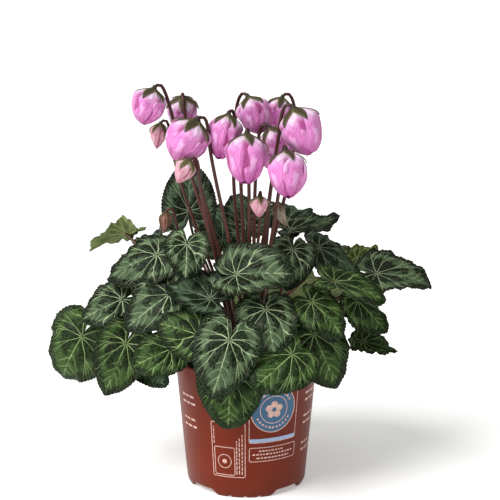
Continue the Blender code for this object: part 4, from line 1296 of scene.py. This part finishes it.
def make_print():
    """Plain frames, rows of dashes, a badge with a five-petalled flower and a pale strip."""
    rng = np.random.default_rng(5)
    # panels: left, right, low, high and the line's width
    pale = [
        frame_lines(-31, -1, 18.5, 66, 0.6),
        frame_lines(-28.8, -10.2, 20.2, 44.5, 0.6),
        frame_lines(2.4, 46.5, 49.0, 100.5, 0.6),
        frame_lines(2.6, 47.5, 32.5, 44.6, 0.6),
    ]
    pale += printed_ring(-19.6, 32.2, 5.6, 6.2)
    pale += printed_ring(-19.6, 32.2, 0, 2.0)
    for az, count in ((-8.4, 9), (-6.1, 8), (-3.6, 10)):
        pale += dashes(az, 21, count, 0.9, 4.0, 0.8, True, rng)
    pale += dashes(-28.9, 47, 5, 0.9, 3.2, 0.7, True, rng)
    for z, start, count in ((41.6, 11, 8), (38.6, 5.5, 13), (35.4, 9, 10)):
        pale += dashes(start, z, count, 0.9, 3.0, 1.2, False, rng)
    for side, heights in ((-66, (82, 76, 62, 56)), (58, (84, 78, 64, 58, 40, 34))):
        for z in heights:
            pale += dashes(side, z, 3, 1.6, 6.5, 1.7, False, rng)
    # the badge: two rings, five petals, two arcs of dashes, and the blue disc under them
    centre = (23.5, 77.0)
    pale += printed_ring(*centre, 19.0, 19.8)
    pale += printed_ring(*centre, 11.4, 12.0)
    for k in range(5):
        turn = math.radians(90 + 72 * k)
        petal = (centre[0] + 4.6 * math.cos(turn) * PER_MM, centre[1] + 4.6 * math.sin(turn))
        pale += printed_ring(*petal, 0, 2.9)
    for first in (25, 205):
        words = [(a, a + rng.uniform(5, 9)) for a in range(first, first + 130, 12)]
        pale += printed_ring(*centre, 14.6, 16.2, spans=words)
    blue = printed_ring(*centre, 0, 18.9, coat=FIRST_COAT)
    strip = [printed_stroke([(2.9, 50.9), (46.0, 50.9)], 3.0)]
    kinds = (
        ("pot_print_pale", pale, ink("screen_ink_pale_pink", "#E3C3BA", "#C08A7C")),
        ("pot_print_blue", blue, ink("screen_ink_blue", "#2C5F86", "#35607F")),
        ("pot_print_strip", strip, ink("screen_ink_light_blue", "#9FB8DA", "#93A5C4")),
    )
    for name, parts, mat in kinds:
        points, faces = merged(parts)
        seat(piece(name, points, faces, [mat], rounded=False), "pot")


# the plant

LEAF_FACE = {tint: leaf_face(tint) for tint in LEAF_TINTS}
LEAF_UNDER = leaf_under()
LEAF_STALK = stalk_skin("leaf_stalk_skin", "#4A2218", "#6A3224", "#5C4026")
# The foot colour #3C1A12 is painted shade, where the stems go in among the leaves at the crown.
FLOWER_STEM = stalk_skin("flower_stem_skin", "#3C1A12", "#5C281C", "#42190F")
# In each: the third colour is a painted highlight; the fourth is the veins' colour and the painted shade of folds
# and creases.
PETALS = {
    "open": petal_skin("pink_petal", "#E2D2AE", "#EB88CF", "#FBCEF2", "#A82E7A", "#D060B0"),
    "bud": petal_skin("pale_pink_bud_petal", "#D8CBA8", "#E6A0B4", "#EDBFC8", "#B85A74", "#DE8CA4"),
    "dry": petal_skin("withered_petal", "#8A7358", "#B9A78F", "#D8CCB8", "#6A4E3C", "#8F7258"),
    "young": petal_skin("young_bud_petal", "#7A5A40", "#8E5A4C", "#A87562", "#5A2E28", "#8A4E48"),
}
SEPALS = {
    "open": sepal_skin("olive_sepal", "#2A2012", "#463F20", "#8C8458"),
    "bud": sepal_skin("green_bud_sepal", "#38331A", "#616132", "#9C9462"),
    "dry": sepal_skin("dry_sepal", "#3E3220", "#6A5A3C", "#9A8A66"),
    "young": sepal_skin("young_sepal", "#3F2A1C", "#62452E", "#8A6A4A"),
}
SWEEP = stalk_sweep()
CRUMBS = crumb_scatter()


def make_plant():
    """Every leaf and flower, each in the place of its CAD node."""
    blades = [Blade(name) for name in LEAVES]
    heads = [Head(name) for name in FLOWERS]
    stalks = []
    for blade in blades:
        if blade.gap > FOUND:
            print("blade not found on its node", blade.name, round(blade.gap, 3))
        stalks.append((blade.stalk(), SWEEP, {"Sides": 14, "Material": LEAF_STALK}, blade.name))
    for head in heads:
        stalks.append((head.stem(), SWEEP, {"Sides": 18, "Material": FLOWER_STEM}, head.name))
    grow([row[:3] for row in stalks])
    for obj, _, _, name in stalks:
        seat(obj, name)
    for blade in blades:
        seat(blade.mesh(), blade.name)
    for head in heads:
        seat(head.petals(), head.name)
        seat(head.calyx(), head.name)


# the stage, in metres and watts

PAPER_GLOW = 0.36  # the paper's own light, which keeps the shadow pale
SKY_LIGHT = 0.28  # strength of the white surroundings as a light; seen directly they are plain white
SUN_POWER, SUN_WIDTH = 2.9, 38.0  # the soft main light, and its width in degrees
SUN_WAY = Vector((0.72, 0.55, -1.15))
LAMP_PLACE, LAMP_SIZE, LAMP_POWER = Vector((-1.1, -1.2, 1.3)), 0.9, 9.0
PLANT_MIDDLE = Vector((0, 0, 0.15))
CAMERA_PLACE, CAMERA_DIP = (0, -1.2, 0.478), 13.2
CAMERA_LENS, CAMERA_SHIFT = 108.43, 0.0074


def make_stage():
    """White paper, a broad soft light from the left, a lamp in front of the plant, and the camera."""
    half = 9.0
    mesh = bpy.data.meshes.new("floor")
    edge = [(-half, -half, 0), (half, -half, 0), (half, half, 0), (-half, half, 0)]
    mesh.from_pydata(edge, [], [(0, 1, 2, 3)])
    mat, tree, shader = blank("matt_white_paper", Roughness=0.9, Emission_Strength=PAPER_GLOW)
    connect(tree, shader, {"Base Color": linear("#F4F3F1"), "Emission Color": linear("#FFFFFF")})
    mesh.materials.append(mat)
    in_scene("floor", mesh)

    world = bpy.data.worlds.new("studio")
    bpy.context.scene.world = world
    world.use_nodes = True
    tree = world.node_tree
    seen = node(tree, "ShaderNodeLightPath").outputs["Is Camera Ray"]
    glow = node(tree, "ShaderNodeMapRange", {"Value": seen, "To Min": SKY_LIGHT, "To Max": 1.0})
    connect(tree, tree.nodes["Background"], {"Color": linear("#FFFFFF"), "Strength": glow})

    sun = bpy.data.lights.new("soft_sky", "SUN")
    sun.energy = SUN_POWER
    sun.angle = math.radians(SUN_WIDTH)
    in_scene("soft_sky", sun).rotation_euler = SUN_WAY.to_track_quat("-Z", "Y").to_euler()

    lamp = bpy.data.lights.new("key", "AREA")
    lamp.size = LAMP_SIZE
    lamp.energy = LAMP_POWER
    obj = in_scene("key", lamp)
    obj.location = LAMP_PLACE
    obj.rotation_euler = (PLANT_MIDDLE - LAMP_PLACE).to_track_quat("-Z", "Y").to_euler()

    camera = bpy.data.cameras.new("camera")
    camera.sensor_width = 36
    camera.lens = CAMERA_LENS
    camera.shift_x = CAMERA_SHIFT
    obj = in_scene("camera", camera)
    obj.location = CAMERA_PLACE
    obj.rotation_euler = (math.radians(90 - CAMERA_DIP), 0, 0)
    bpy.context.scene.camera = obj
    bpy.context.scene.view_settings.view_transform = "Standard"


make_stage()
make_pot()
make_print()
make_soil()
make_tuber()
make_plant()
